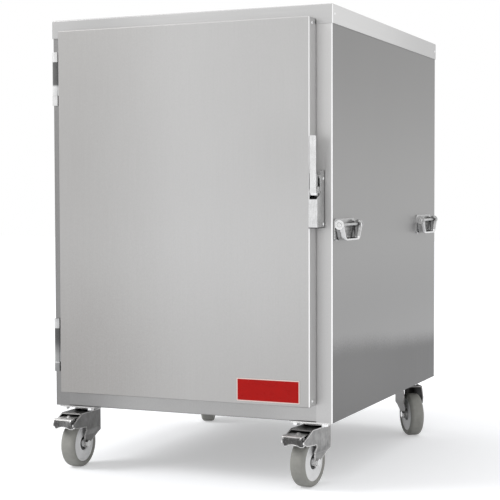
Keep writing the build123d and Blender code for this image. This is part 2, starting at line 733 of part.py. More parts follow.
def handle_bail(y):
    """Flat strip bent into a tapering stirrup, hung on the spindle."""
    top = SPINDLE_Z + BAIL_W / 2
    foot_y = BAIL_LEG_Y - BAIL_TAPER
    foot_z = HANDLE_Z0 + BAIL_T / 2
    knee_z = SPINDLE_Z - BAIL_KNEE
    half_path = [(BAIL_LEG_Y, top), (BAIL_LEG_Y, knee_z), (foot_y, foot_z)]
    path = half_path + [(-point[0], point[1]) for point in reversed(half_path)]
    strip = folded([(y + point[0], point[1]) for point in path], BAIL_T, BAIL_CORNER_R)
    inner = SPINDLE_X - BAIL_W / 2
    outer = SPINDLE_X + BAIL_W / 2
    bail = across(strip, inner, outer)
    side_view = Pos(SPINDLE_X, SPINDLE_Z) * Circle(BAIL_W / 2)
    drop = SPINDLE_Z - HANDLE_Z0 + BAIL_T
    side_view += Pos(SPINDLE_X, SPINDLE_Z - drop / 2) * Rectangle(BAIL_W, drop)
    reach = HANDLE_L
    bail &= along(side_view, y - reach / 2, y + reach / 2)
    bore = SPINDLE_R + RUN_CLEAR
    start = (SPINDLE_X, y - reach / 2, SPINDLE_Z)
    return bail - rod(bore, start, (SPINDLE_X, y + reach / 2, SPINDLE_Z))


# ---------------------------------------------------------------- casters
# Each caster is drawn with its swivel axis on Z, its mounting face at Z = 0 and its wheel
# trailing towards +X, then turned and moved to its place under the body.
def hexagon(across_flats):
    """Regular hexagon of a bolt head or nut."""
    return RegularPolygon(across_flats / 2, 6, major_radius=False)


def caster_top_plate():
    """Slotted mounting plate with the fixed half of the ball race under it."""
    plate = block((-PLATE_X / 2, PLATE_X / 2), (-PLATE_Y / 2, PLATE_Y / 2), (-PLATE_T, 0))
    plate = fillet(plate.edges().filter_by(Axis.Z), PLATE_R)
    for x, y in caster_hole_centres(0, 0):
        slot = extrude(Pos(x, y, -PLATE_T) * SlotOverall(SLOT_L, SLOT_W), PLATE_T)
        plate -= slot
    race = rod(RACE_R, (0, 0, FACE_CLEAR - FORK_TOP), (0, 0, -PLATE_T))
    race = chamfer(race.edges().group_by(Axis.Z)[0], RACE_BEVEL)
    return plate + race - rod(KINGPIN_R, (0, 0, -FORK_TOP), (0, 0, 0))


def caster_kingpin():
    """Bolt down the swivel axis, with a nut under the fork's crown."""
    nut_top = -FORK_TOP - FORK_T - FACE_CLEAR
    nut_low = nut_top - KINGPIN_NUT_H
    pin = rod(KINGPIN_R, (0, 0, nut_low), (0, 0, 0))
    return pin + extrude(Pos(0, 0, nut_low) * hexagon(KINGPIN_NUT_AF), KINGPIN_NUT_H)


def caster_bolts(x, y):
    """Four bolts up through the plate's slots and the pan into the doubler."""
    bolts = []
    face = BODY_Z0 - PLATE_T
    for hole in caster_hole_centres(x, y):
        head = extrude(Pos(*hole, face - BOLT_HEAD_H) * hexagon(BOLT_HEAD_AF), BOLT_HEAD_H)
        bolts.append(head + rod(BOLT_R, (*hole, face), (*hole, PAN_TOP + DOUBLER_T)))
    return bolts


def caster_doubler(x, y):
    """Tapped plate inside the pan that spreads the caster's load."""
    y0 = max(y - PLATE_Y / 2, SHELL_T + BEND_R)
    span = ((x - PLATE_X / 2, x + PLATE_X / 2), (y0, y + PLATE_Y / 2))
    doubler = block(*span, (PAN_TOP, PAN_TOP + DOUBLER_T))
    for hole in caster_hole_centres(x, y):
        doubler -= rod(BOLT_R, (*hole, PAN_TOP), (*hole, PAN_TOP + DOUBLER_T))
    return doubler


def fork_side_view(braked):
    """Block with the fork's side view: crown, back edge, axle boss and, if braked, long cheeks."""
    leg_front = TRAIL + FORK_BOSS_R
    if braked:
        front = [
            (FORK_ROOF_FRONT, -FORK_TOP), (FORK_NOSE_FRONT, -FORK_NOSE_TOP),
            (FORK_NOSE_FRONT, -FORK_NOSE_BOTTOM), (FORK_CHIN_FRONT, -FORK_CHIN_DROP),
            (leg_front - FORK_THROAT_IN, -FORK_THROAT_DROP),
        ]
    else:
        front = [(REAR_ROOF_FRONT, -FORK_TOP), (leg_front + REAR_THROAT_OUT, -REAR_THROAT_DROP)]
    toe = (leg_front - FORK_TOE_IN, FORK_TOE_UP - WHEEL_DROP)
    heel_low = (TRAIL - FORK_BOSS_R + FORK_HEEL_IN, -FORK_TOE_UP - WHEEL_DROP)
    heel_high = (-FORK_BACK, FORK_HEEL_UP - WHEEL_DROP)
    points = [(-FORK_BACK, -FORK_TOP)] + front + [toe, heel_low, heel_high]
    width = (-FORK_CHEEK_W / 2, FORK_CHEEK_W / 2)
    boss_ends = [(TRAIL, v, -WHEEL_DROP) for v in width]
    return along(Polygon(*points, align=None), *width) + rod(FORK_BOSS_R, *boss_ends)


def fork_plan(inset):
    """Plan of the fork's crown, with large corner radii at the back, set in all round."""
    half = FORK_CHEEK_W / 2 - inset
    back = inset - FORK_BACK
    middle = (back + FORK_NOSE_FRONT) / 2
    outline = Pos(middle, 0) * Rectangle(FORK_NOSE_FRONT - back, 2 * half)
    return fillet(outline.vertices().group_by(Axis.X)[0], FORK_CORNER_R - inset)


def fork_returns(low):
    """Walls that wrap round the crown's two back corners, open between them for the wheel."""
    wall = upright(fork_plan(0) - fork_plan(FORK_T), low, -FORK_TOP)
    gap = FORK_CHEEK_W / 2 - FORK_CORNER_R - FORK_RETURN
    window = block((-FORK_BACK, 0), (-gap, gap), (low, -FORK_TOP))
    return wall - window


def caster_fork(braked):
    """Pressed fork: channel with wrapped back corners, whose legs step in to the axle."""
    leg_mid = TYRE_W / 2 + WHEEL_SIDE_PLAY + FORK_T / 2
    cheek_mid = FORK_CHEEK_W / 2 - FORK_T / 2
    roof = -FORK_TOP - FORK_T / 2
    step_low = FORK_STEP_LOW - WHEEL_DROP
    step_high = FORK_STEP_HIGH - WHEEL_DROP
    foot = -WHEEL_DROP - FORK_BOSS_R - FORK_FOOT
    half = [(leg_mid, foot), (leg_mid, step_low), (cheek_mid, step_high), (cheek_mid, roof)]
    path = half + [(-point[0], point[1]) for point in reversed(half)]
    channel = folded(path, FORK_T, FORK_BEND_R)
    fork = across(channel, -FORK_BACK, FORK_NOSE_FRONT) & upright(fork_plan(0), foot, -FORK_TOP)
    fork += fork_returns(step_high + FORK_BEND_R)
    fork &= fork_side_view(braked)
    fork -= rod(KINGPIN_R + RUN_CLEAR, (0, 0, -FORK_TOP - FORK_T), (0, 0, -FORK_TOP))
    width = (-FORK_CHEEK_W / 2, FORK_CHEEK_W / 2)
    fork -= rod(AXLE_R, *[(TRAIL, v, -WHEEL_DROP) for v in width])
    if braked:
        fork += rod(PEDAL_PIVOT_R, *[(PEDAL_PIVOT_U, v, -PEDAL_PIVOT_DROP) for v in width])
    return fork


def caster_axle():
    """Axle bolt with its hexagon head on one leg and its nut on the other."""
    place = (TRAIL, -WHEEL_DROP)
    axle = rod(AXLE_R, (place[0], -LEG_OUTER, place[1]), (place[0], LEG_OUTER, place[1]))
    for side in (-1, 1):
        face = Plane(origin=(place[0], side * LEG_OUTER, place[1]), z_dir=(0, side, 0))
        axle += extrude(face * hexagon(AXLE_HEAD_AF), AXLE_HEAD_H)
    return axle


def turned_wheel(profile):
    """A half profile of radius and width, revolved about the axle line."""
    placed = Plane(origin=(TRAIL, 0, -WHEEL_DROP), x_dir=(1, 0, 0), z_dir=(0, 0, 1)) * profile
    axle_line = Axis((TRAIL, 0, -WHEEL_DROP), (0, 1, 0))
    return revolve(placed, axle_line)


def wheel_core():
    """Moulded wheel centre: rim, dished web and a hub sleeve standing in a pocket."""
    half = CORE_W / 2
    hub_half = TYRE_W / 2 + WHEEL_SIDE_PLAY - FORK_LEG_SIDE_GAP
    pocket = half - HUB_POCKET_D
    dish = half - CORE_DISH_D
    side = [
        (AXLE_R + RUN_CLEAR, hub_half), (HUB_R, hub_half), (HUB_R, pocket),
        (HUB_POCKET_R, pocket), (HUB_POCKET_R, half), (HUB_POCKET_R + CORE_DISH_OUT, dish),
        (CORE_R - CORE_DISH_IN, dish), (CORE_R - CORE_RIM_W, half), (CORE_R, half),
    ]
    points = side + [(r, -width) for r, width in reversed(side)]
    return turned_wheel(Polygon(*points, align=None))


def wheel_tyre():
    """Tread ring with stepped shoulders, moulded on the core."""
    half = TYRE_W / 2
    third = TYRE_SHOULDER_R / 3
    side = [
        (CORE_R, CORE_W / 2), (CORE_R + TYRE_WALL_IN, half), (WHEEL_R - TYRE_SHOULDER_R, half),
        (WHEEL_R - third, half - third), (WHEEL_R, half - TYRE_SHOULDER_R),
    ]
    points = side + [(r, -width) for r, width in reversed(side)]
    return turned_wheel(Polygon(*points, align=None))


def pedal_head(inset):
    """Solid of the treadle's head: level top, sloping lip and rounded edges, set in all round."""
    top = -PEDAL_TOP_DROP - inset
    reach = PEDAL_REACH - inset
    low = -PEDAL_TOP_DROP - LIP_H
    back = PEDAL_REACH - PEDAL_HEAD_L
    lean = LIP_LEAN * (top - low) / LIP_H
    half = PEDAL_HEAD_W / 2 - inset
    side = [(back, top), (reach, top), (reach - lean, low), (back, low)]
    head = along(Polygon(*side, align=None), -half, half)
    rim = head.edges().group_by(Axis.Z)[-1].filter_by(Axis.Y).sort_by(Axis.X)[-1]
    corners = head.edges().filter_by(Axis.Y, reverse=True).group_by(Axis.X)[-1]
    return fillet([rim] + list(corners), PEDAL_EDGE_R - inset)


def brake_pedal():
    """Treadle over the wheel: arm between the cheeks, pressed head, pivot ears and shoe."""
    arm_z = (-PEDAL_TOP_DROP - PEDAL_T, -PEDAL_TOP_DROP)
    arm_half = PEDAL_ARM_W / 2
    head_back = PEDAL_REACH - PEDAL_HEAD_L
    arm_u = (PEDAL_PIVOT_U - PEDAL_TAIL, head_back)
    pedal = block(arm_u, (-arm_half, arm_half), arm_z)
    head = pedal_head(0) - pedal_head(PEDAL_T)
    lip_low = -PEDAL_TOP_DROP - LIP_H
    open_half = PEDAL_HEAD_W / 2 - LIP_END_W
    arch = ThreePointArc((-open_half, lip_low), (0, lip_low + LIP_ARCH), (open_half, lip_low))
    arch_face = make_face(arch + Line((open_half, lip_low), (-open_half, lip_low)))
    pedal += head - across(arch_face, head_back, PEDAL_REACH)
    dimple_u = (PEDAL_PIVOT_U + head_back) / 2
    dimple = Pos(dimple_u, 0, arm_z[1]) * Cone(DIMPLE_R, DIMPLE_TOP_R, DIMPLE_H)
    pedal += Pos(0, 0, DIMPLE_H / 2) * dimple
    ear = Pos(PEDAL_PIVOT_U, -PEDAL_PIVOT_DROP) * Circle(PEDAL_BOSS_R)
    ear_h = PEDAL_PIVOT_DROP - PEDAL_TOP_DROP
    ear += Pos(PEDAL_PIVOT_U, -PEDAL_PIVOT_DROP + ear_h / 2) * Rectangle(2 * PEDAL_BOSS_R, ear_h)
    for v in (-arm_half, arm_half - PEDAL_T):
        pedal += along(ear, v, v + PEDAL_T)
    shoe_u = PEDAL_PIVOT_U + SHOE_BACK
    shoe = block((shoe_u, shoe_u + SHOE_L), (-SHOE_W / 2, SHOE_W / 2), (-WHEEL_DROP, arm_z[1]))
    clear = WHEEL_R + SHOE_GAP
    shoe -= rod(clear, (TRAIL, -SHOE_W / 2, -WHEEL_DROP), (TRAIL, SHOE_W / 2, -WHEEL_DROP))
    pedal += shoe
    bore = PEDAL_PIVOT_R + RUN_CLEAR
    ends = [(PEDAL_PIVOT_U, side * arm_half, -PEDAL_PIVOT_DROP) for side in (-1, 1)]
    return pedal - rod(bore, *ends)


# ---------------------------------------------------------------- assembly
parts = {}


def add_mirrored(name, piece):
    """Keep a piece for the right side and its mirror image for the left."""
    right, left = both_sides(piece)
    parts["right_" + name] = right
    parts["left_" + name] = left


add_mirrored("side_panel", side_panel())
parts["back_panel"] = back_panel()
parts["bottom_pan"] = bottom_pan()
parts["top_cap"] = top_cap()
parts["cap_rivets"] = cap_rivets()
add_mirrored("liner", side_liner())
parts["floor_liner"] = floor_liner()
parts["roof_liner"] = roof_liner()
parts["back_liner"] = back_liner()
parts["wall_insulation"] = wall_insulation()
parts["rack_uprights"] = rack_uprights()
add_mirrored("tray_runners", tray_runners())

parts["door_outer_skin"] = door_outer_skin()
parts["door_inner_skin"] = door_inner_skin()
parts["door_insulation"] = door_filling()
parts["door_gasket"] = door_gasket()
parts["label_plate"] = label_plate()
parts["door_screws"] = door_screws()

for level, hinge_z in HINGE_Z.items():
    parts[level + "_hinge_frame_leaf"] = hinge_frame_leaf(hinge_z)
    parts[level + "_hinge_door_leaf"] = hinge_door_leaf(hinge_z)
parts["hinge_pins"] = group([hinge_pin(hinge_z) for hinge_z in HINGE_Z.values()])

parts["latch_housing"] = latch_housing()
parts["latch_pin"] = latch_pin()
parts["latch_lever"] = latch_lever()
parts["latch_strike"] = latch_strike()

handle_places = {"front": HANDLE_FRONT_Y, "rear": HANDLE_REAR_Y}
for place, handle_y in handle_places.items():
    parts["right_" + place + "_handle_bail"] = handle_bail(handle_y)
parts["handle_spindles"] = group([handle_spindle(y) for y in handle_places.values()])
parts["right_handle_plates"] = group([handle_plate(y) for y in handle_places.values()])

top_plates = []
kingpins = []
bolts = []
doublers = []
for caster, caster_x, caster_y in caster_places():
    braked = CASTERS[caster]["front"]
    under_body = Pos(caster_x, caster_y, BODY_Z0)
    turned = under_body * Rot(0, 0, CASTERS[caster]["turn"] - 90)
    top_plates.append(under_body * caster_top_plate())
    kingpins.append(under_body * caster_kingpin())
    bolts += caster_bolts(caster_x, caster_y)
    doublers.append(caster_doubler(caster_x, caster_y))
    parts[caster + "_fork"] = turned * caster_fork(braked)
    parts[caster + "_axle"] = turned * caster_axle()
    parts[caster + "_wheel_core"] = turned * wheel_core()
    parts[caster + "_tyre"] = turned * wheel_tyre()
    if braked:
        parts[caster + "_brake_pedal"] = turned * brake_pedal()
parts["caster_top_plates"] = group(top_plates)
parts["caster_kingpins"] = group(kingpins)
parts["caster_bolts"] = group(bolts)
parts["caster_doublers"] = group(doublers)

boxes = [piece.bounding_box() for piece in parts.values()]
CENTRE_X = (min(box.min.X for box in boxes) + max(box.max.X for box in boxes)) / 2
CENTRE_Y = (min(box.min.Y for box in boxes) + max(box.max.Y for box in boxes)) / 2

for name, piece in parts.items():
    placed_piece = Pos(-CENTRE_X, -CENTRE_Y, 0) * piece
    export_step(placed_piece, "parts/" + name + ".step")
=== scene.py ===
"""Insulated proofing cabinet on four swivel casters: finishes, small fittings, light and camera."""
import json
import math

import bmesh
import bpy
from mathutils import Matrix, Vector


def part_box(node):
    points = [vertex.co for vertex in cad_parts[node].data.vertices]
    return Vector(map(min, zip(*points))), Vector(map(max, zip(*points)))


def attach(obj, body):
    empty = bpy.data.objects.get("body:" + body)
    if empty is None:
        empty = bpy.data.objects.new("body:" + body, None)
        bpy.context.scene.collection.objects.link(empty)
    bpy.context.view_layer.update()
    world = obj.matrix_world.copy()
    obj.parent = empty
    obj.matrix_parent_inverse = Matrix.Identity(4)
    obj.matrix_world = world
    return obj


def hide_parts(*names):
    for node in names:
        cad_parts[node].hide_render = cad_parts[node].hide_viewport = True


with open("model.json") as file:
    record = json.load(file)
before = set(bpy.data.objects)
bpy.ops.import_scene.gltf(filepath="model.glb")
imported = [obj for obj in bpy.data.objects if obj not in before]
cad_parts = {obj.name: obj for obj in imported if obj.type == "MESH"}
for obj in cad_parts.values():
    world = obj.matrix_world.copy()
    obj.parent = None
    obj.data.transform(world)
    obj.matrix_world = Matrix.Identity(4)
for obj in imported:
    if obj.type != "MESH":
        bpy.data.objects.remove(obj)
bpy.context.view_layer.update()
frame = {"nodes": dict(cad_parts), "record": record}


# ---------------------------------------------------------------- body shell
# Two side panels folded from 1.2 mm stainless sheet, a back sheet, and a floor pan with a rail
# across the front. The sheet keeps the mill's fine upright grain and is slightly cloudy. Its tones
# are painted light: a painted reflection of the floor's shadow as a dark band along its foot,
# different painted tones on fronts and sides, and painted shade and highlights on its folds.
class Socket:
    """An output of a shader node. Arithmetic on it adds Math nodes."""

    def __init__(self, finish, link):
        self.finish = finish
        self.link = link

    def math(self, operation, *values):
        settings = {"operation": operation}
        return self.finish.node("ShaderNodeMath", settings, dict(enumerate(values)))

    def __add__(self, other):
        return self.math("ADD", self, other)

    __radd__ = __add__

    def __sub__(self, other):
        return self.math("SUBTRACT", self, other)

    def __rsub__(self, other):
        return self.math("SUBTRACT", other, self)

    def __mul__(self, other):
        return self.math("MULTIPLY", self, other)

    __rmul__ = __mul__

    def __pow__(self, other):
        return self.math("POWER", self, other)

    def __abs__(self):
        return self.math("ABSOLUTE", self)

    def swing(self, width):
        """Makes an output between 0 and 1 swing about 0, this far from end to end."""
        return (self - 0.5) * width


class Finish:
    """The node tree of a new material, or of the owner that is given."""

    # A Mix node set to colours has these inputs and this output.
    MIX_AMOUNT, MIX_LOW, MIX_HIGH, MIX_COLOUR = 0, 6, 7, 2

    def __init__(self, name, owner=None):
        self.owner = owner or bpy.data.materials.new(name)
        self.owner.use_nodes = True
        self.tree = self.owner.node_tree
        self.tree.nodes.clear()

    def node(self, kind, settings, values, output=0):
        """Adds a node: its settings first, then a value or a link for each input named."""
        made = self.tree.nodes.new(kind)
        for key, value in settings.items():
            setattr(made, key, value)
        for key, value in values.items():
            if isinstance(value, Socket):
                self.tree.links.new(value.link, made.inputs[key])
            else:
                made.inputs[key].default_value = value
        if made.outputs:
            return Socket(self, made.outputs[output])

    def axes(self, coordinate):
        """X, Y and Z of a texture coordinate."""
        point = self.node("ShaderNodeTexCoord", {}, {}, coordinate)
        return [self.node("ShaderNodeSeparateXYZ", {}, {0: point}, axis) for axis in range(3)]

    def place(self):
        """The point being shaded, in metres, as the piece lies at rest."""
        return self.axes("Object")

    def facing(self):
        """The surface's own direction, from -1 to 1 along each axis."""
        return self.axes("Normal")

    def noise(self, place, waves, detail=2.0, rough=0.5, twist=0.0):
        """Noise between 0 and 1, with so many waves to the metre along X, Y and Z."""
        scaled = {axis: place[axis] * waves[axis] for axis in range(3)}
        point = self.node("ShaderNodeCombineXYZ", {}, scaled)
        values = {"Vector": point, "Scale": 1.0, "Detail": detail, "Roughness": rough}
        values["Distortion"] = twist
        return self.node("ShaderNodeTexNoise", {}, values, "Fac")

    def step(self, value, low, high):
        """0 below low, 1 above high and a smooth rise between them."""
        settings = {"interpolation_type": "SMOOTHSTEP"}
        values = {"Value": value, "From Min": low, "From Max": high}
        return self.node("ShaderNodeMapRange", settings, values)

    def tint(self, amount, low, high):
        """Colour between low and high, each a colour or the output of a node."""
        low, high = [end if isinstance(end, Socket) else (*end, 1) for end in (low, high)]
        values = {self.MIX_AMOUNT: amount, self.MIX_LOW: low, self.MIX_HIGH: high}
        return self.node("ShaderNodeMix", {"data_type": "RGBA"}, values, self.MIX_COLOUR)

    def bump(self, height, depth):
        """Normal for a relief of that depth in metres."""
        return self.node("ShaderNodeBump", {}, {"Height": height, "Distance": depth})

    def surface(self, values):
        """Ends the tree in a Principled shader with these inputs."""
        shader = self.node("ShaderNodeBsdfPrincipled", {}, values)
        self.node("ShaderNodeOutputMaterial", {}, {"Surface": shader})
        return self.owner


def shade(grey, warmth=0.0):
    """A grey, or a slightly warm one."""
    return (grey * (1 + warmth), grey, grey * (1 - warmth))


def dress(material, *nodes):
    """Gives CAD nodes their finish."""
    for name in nodes:
        node = frame["nodes"][name]
        node.data.materials.clear()
        node.data.materials.append(material)


# Painted light on the upright front folds: painted shade on the left fold, a painted highlight on
# the right one.
FOLD_PAINTED_SHADE = shade(0.14)
FOLD_PAINTED_HIGHLIGHT = shade(0.88)
FOLD_TURN = (0.20, 0.50)


def bent(finish, sheet, nx, ny, fold_highlight):
    """A sheet's colour with its upright front folds: painted shade on the left, a painted highlight
    on the right.
    """
    turned_front = finish.step(0 - ny, *FOLD_TURN)
    for way, colour in ((0 - nx, FOLD_PAINTED_SHADE), (nx, fold_highlight)):
        sheet = finish.tint(finish.step(way, *FOLD_TURN) * turned_front, sheet, colour)
    return sheet


FINE = {"detail": 3.0, "rough": 0.6}
GRAIN = (1300, 1300, 7)
GRAIN_DEPTH = 0.00002
CLOUDS = (5, 5, 2.2)
STREAKS = (190, 190, 2.5)
SATIN = (330, 330, 260)


def upright_grain(finish, place):
    """Fine scratches that run up the sheet, and clouds behind them with a satin speckle."""
    scratches = finish.noise(place, GRAIN, **FINE)
    clouds = finish.noise(place, CLOUDS).swing(0.7)
    streaks = finish.noise(place, STREAKS, **FINE).swing(0.2)
    satin = finish.noise(place, SATIN, rough=0.6).swing(1.1)
    return scratches, 0.5 + clouds + streaks + satin


# Tones run from 0, which is SHELL_DARK, to 1, which is SHELL_LIGHT.
SHELL_DARK = shade(0.10, 0.012)
SHELL_LIGHT = shade(0.75, 0.008)
FRONT_TURN = (0.3, 0.9)
body_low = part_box("bottom_pan")[0].z
body_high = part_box("top_cap")[1].z
body_front, body_back = [corner.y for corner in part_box("right_side_panel")]

# Painted reflection on the sides: a dark band along the foot with a wavy top, darkest at the back,
# then lighter to mid height and darker again towards the head.
BAND_TONE = 0.062
BAND_TOP = (body_low + 0.125, body_low + 0.175)
BAND_BACK_DROP = 0.05
BAND_BACK_LOSS = 0.075
BAND_WAVER = 0.03
SIDE_GAIN = 0.195
WAIST = (body_low + 0.20, body_low + 0.37)
WAIST_GAIN = 0.067
HEAD = (body_low + 0.45, body_high)
HEAD_LOSS = 0.108


def side_tone(finish, y, z, clouds):
    """The sides' painted reflection: dark in the band, most of all at the back, and brightest at
    mid height.
    """
    far = finish.step(y, body_front, body_back)
    band_edge = z + far * BAND_BACK_DROP + clouds.swing(BAND_WAVER)
    above_band = finish.step(band_edge, *BAND_TOP)
    tone = BAND_TONE - far * (1 - above_band) * BAND_BACK_LOSS + above_band * SIDE_GAIN
    return tone + finish.step(z, *WAIST) * WAIST_GAIN - finish.step(z, *HEAD) * HEAD_LOSS


# Painted light on the front rail and stiles, darker by the hinges and lighter by the latch.
RAIL_TONE = 0.18
RAIL_RISES = ((-0.30, -0.10, 0.20), (0.12, 0.27, 0.10))


def rail_tone(finish, x):
    """The rail's painted light: lighter in two rises from the hinge side to the latch side."""
    tone = RAIL_TONE
    for start, end, rise in RAIL_RISES:
        tone = tone + finish.step(x, start, end) * rise
    return tone


HINGE_STILE, HINGE_STILE_RISE = 0.16, 0.05
LATCH_STILE, LATCH_STILE_RISE = 0.57, 0.23
BETWEEN_STILES = (-0.1, 0.1)


def stile_tone(finish, x, z):
    """The stiles' painted light: dark by the hinges, bright by the latch, and both lighter upwards.
    """
    height = finish.step(z, body_low, body_high)
    by_hinges = HINGE_STILE + height * HINGE_STILE_RISE
    by_latch = LATCH_STILE + height * LATCH_STILE_RISE
    return by_hinges + (by_latch - by_hinges) * finish.step(x, *BETWEEN_STILES)


def shell_steel(name, has_rail=False):
    """Satin mill sheet. The floor pan's front is the rail, and the panels' fronts the stiles."""
    finish = Finish(name)
    place = finish.place()
    x, y, z = place
    nx, ny, _ = finish.facing()
    scratches, clouds = upright_grain(finish, place)
    side = side_tone(finish, y, z, clouds)
    front = rail_tone(finish, x) if has_rail else stile_tone(finish, x, z)
    # Painted light: fronts and sides take their own tones, blended by which way the face turns.
    tone = side + (front - side) * finish.step(0 - ny, *FRONT_TURN)
    tone = tone + scratches.swing(0.10) + clouds.swing(0.08)
    sheet = finish.tint(tone, SHELL_DARK, SHELL_LIGHT)
    return finish.surface({
        "Base Color": bent(finish, sheet, nx, ny, FOLD_PAINTED_HIGHLIGHT),
        "Metallic": 1.0,
        "Roughness": 0.40 + scratches.swing(0.14) + clouds.swing(0.08),
        "Normal": finish.bump(scratches, GRAIN_DEPTH),
    })


dress(shell_steel("shell_steel"), "right_side_panel", "left_side_panel", "back_panel")
dress(shell_steel("floor_pan_steel", has_rail=True), "bottom_pan")


# ---------------------------------------------------------------- top cap
# A lid pressed from 1.5 mm sheet whose skirt drops over the body. Its grain runs along the
# skirt and lengthways on top, and a domed rivet holds it near each corner. Painted light makes
# the side skirts lighter, and painted shade darkens the lid, the back and the left of the front.
CAP_DARK = shade(0.44, 0.004)
CAP_LIGHT = shade(0.72, 0.004)
SKIRT_GRAIN = (8, 8, 1500)
LID_GRAIN = (1300, 6, 1)
CAP_CLOUDS = (4, 4, 4)
LID_TURN = (0.5, 0.8)
CAP_TONE = 0.33
# Painted light on the side skirts, and painted shade towards the back and on the front's left part.
CAP_SIDES_GAIN = 0.45
CAP_BACK = (-0.30, 0.45)
CAP_BACK_LOSS = 0.55
CAP_LEFT = (0.0, 0.3)
CAP_LEFT_LOSS = 0.4


def cap_steel():
    finish = Finish("cap_steel")
    place = finish.place()
    x, y, z = place
    nx, ny, nz = finish.facing()
    on_lid = finish.step(abs(nz), *LID_TURN)
    skirt = finish.noise(place, SKIRT_GRAIN, **FINE)
    lid = finish.noise(place, LID_GRAIN, **FINE)
    grain = skirt + (lid - skirt) * on_lid
    clouds = finish.noise(place, CAP_CLOUDS)
    tone = CAP_TONE + abs(nx) * CAP_SIDES_GAIN + grain.swing(0.25) + clouds.swing(0.2)
    tone = tone - finish.step(y, *CAP_BACK) * CAP_BACK_LOSS
    tone = tone - finish.step(0 - x, *CAP_LEFT) * abs(ny) * CAP_LEFT_LOSS
    # Painted shade on the lid: its tone drops to the darkest grey.
    sheet = finish.tint(tone * (1 - on_lid), CAP_DARK, CAP_LIGHT)
    return finish.surface({
        "Base Color": bent(finish, sheet, nx, ny, FOLD_PAINTED_HIGHLIGHT),
        "Metallic": 1.0,
        "Roughness": 0.36 + grain.swing(0.12),
        "Normal": finish.bump(grain, GRAIN_DEPTH),
    })


RIVET_DARK = shade(0.78)
RIVET_LIGHT = shade(0.95)
RIVET_SPOTS = (900, 900, 900)


def rivet_steel():
    finish = Finish("rivet_steel")
    spots = finish.noise(finish.place(), RIVET_SPOTS)
    return finish.surface({
        "Base Color": finish.tint(spots, RIVET_DARK, RIVET_LIGHT),
        "Metallic": 1.0,
        "Roughness": 0.28 + spots * 0.1,
        "Normal": finish.bump(spots, depth=0.00003),
    })


dress(cap_steel(), "top_cap")
rivet_finish = rivet_steel()
dress(rivet_finish, "cap_rivets")


# ---------------------------------------------------------------- liner, tray rack and foam
# The chamber is lined with thinner, plain mill sheet. Channel posts carry nine pairs of folded
# ledges, and rigid foam boards fill the walls.
LINER_DARK = shade(0.36, 0.01)
LINER_LIGHT = shade(0.50, 0.01)
ROLLED = (500, 12, 500)
LINER_CLOUDS = (9, 9, 9)


def liner_steel():
    finish = Finish("liner_steel")
    place = finish.place()
    rolled = finish.noise(place, ROLLED)
    clouds = finish.noise(place, LINER_CLOUDS, detail=3.0, rough=0.55, twist=0.6)
    tone = 0.5 + rolled.swing(0.3) + clouds.swing(0.8)
    return finish.surface({
        "Base Color": finish.tint(tone, LINER_DARK, LINER_LIGHT),
        "Metallic": 1.0,
        "Roughness": 0.34 + clouds.swing(0.14),
        "Normal": finish.bump(rolled, GRAIN_DEPTH),
    })


FOAM_DARK = (0.52, 0.42, 0.22)
FOAM_LIGHT = (0.72, 0.63, 0.40)
FOAM_CELLS = (700, 700, 700)


def foam_board():
    finish = Finish("foam_board")
    cells = finish.noise(finish.place(), FOAM_CELLS, detail=3.0, rough=0.7)
    return finish.surface({
        "Base Color": finish.tint(cells, FOAM_DARK, FOAM_LIGHT),
        "Roughness": 0.9,
        "Normal": finish.bump(cells, depth=0.0006),
    })


dress(
    liner_steel(), "right_liner", "left_liner", "floor_liner", "roof_liner", "back_liner",
    "rack_uprights", "right_tray_runners", "left_tray_runners", "door_inner_skin",
)
dress(foam_board(), "wall_insulation", "door_insulation")


# ---------------------------------------------------------------- door
# A foam-filled pan with an upright grain, and handled smooth beside the latch. Painted shade
# makes it darker and a little warmer towards the hinge side and the foot, and painted light
# brightens its latch-side edge face and its right front fold. A grey seal with a thin lip runs
# round its back.
DOOR_DARK = shade(0.26, 0.035)
DOOR_LIGHT = shade(0.525, 0.004)
DOOR_EDGE = shade(0.60, 0.004)
# A painted highlight on the door's right front fold.
DOOR_FOLD_HIGHLIGHT = shade(0.86)
DOOR_EDGE_TURN = (0.6, 0.9)
door_low, door_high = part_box("door_outer_skin")
latch_low, latch_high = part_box("latch_housing")

DOOR_TONE = 0.08
DOOR_LEFT = (door_low.x, door_low.x + 0.33)
DOOR_LEFT_GAIN = 0.36
DOOR_FOOT = (door_low.z, door_low.z + 0.36)
DOOR_FOOT_GAIN = 0.32
DOOR_DRIFT = 0.04
HAND_AWAY = 0.03
HAND_RUB = (0.02, 0.12)
HAND_SHINE = 0.04


def door_steel():
    finish = Finish("door_steel")
    place = finish.place()
    x, y, z = place
    nx, ny, _ = finish.facing()
    scratches, clouds = upright_grain(finish, place)
    drift = clouds.swing(DOOR_DRIFT)
    # Painted shade: darker towards the hinge side and the foot.
    from_hinges = finish.step(x + drift, *DOOR_LEFT) * DOOR_LEFT_GAIN
    from_foot = finish.step(z + drift, *DOOR_FOOT) * DOOR_FOOT_GAIN
    hand_x, hand_z = latch_low.x - HAND_AWAY, latch_high.z + HAND_AWAY
    reach = ((x - hand_x) ** 2 + (z - hand_z) ** 2) ** 0.5
    rubbed = 1 - finish.step(reach + drift, *HAND_RUB)
    tone = DOOR_TONE + from_hinges + from_foot + scratches.swing(0.22) + clouds.swing(0.12)
    face = finish.tint(tone, DOOR_DARK, DOOR_LIGHT)
    # Painted light: the latch-side edge face is lighter.
    sheet = finish.tint(finish.step(nx, *DOOR_EDGE_TURN), face, DOOR_EDGE)
    return finish.surface({
        "Base Color": bent(finish, sheet, nx, ny, DOOR_FOLD_HIGHLIGHT),
        "Metallic": 1.0,
        "Roughness": 0.41 + scratches.swing(0.14) - rubbed * HAND_SHINE,
        "Normal": finish.bump(scratches, GRAIN_DEPTH),
    })


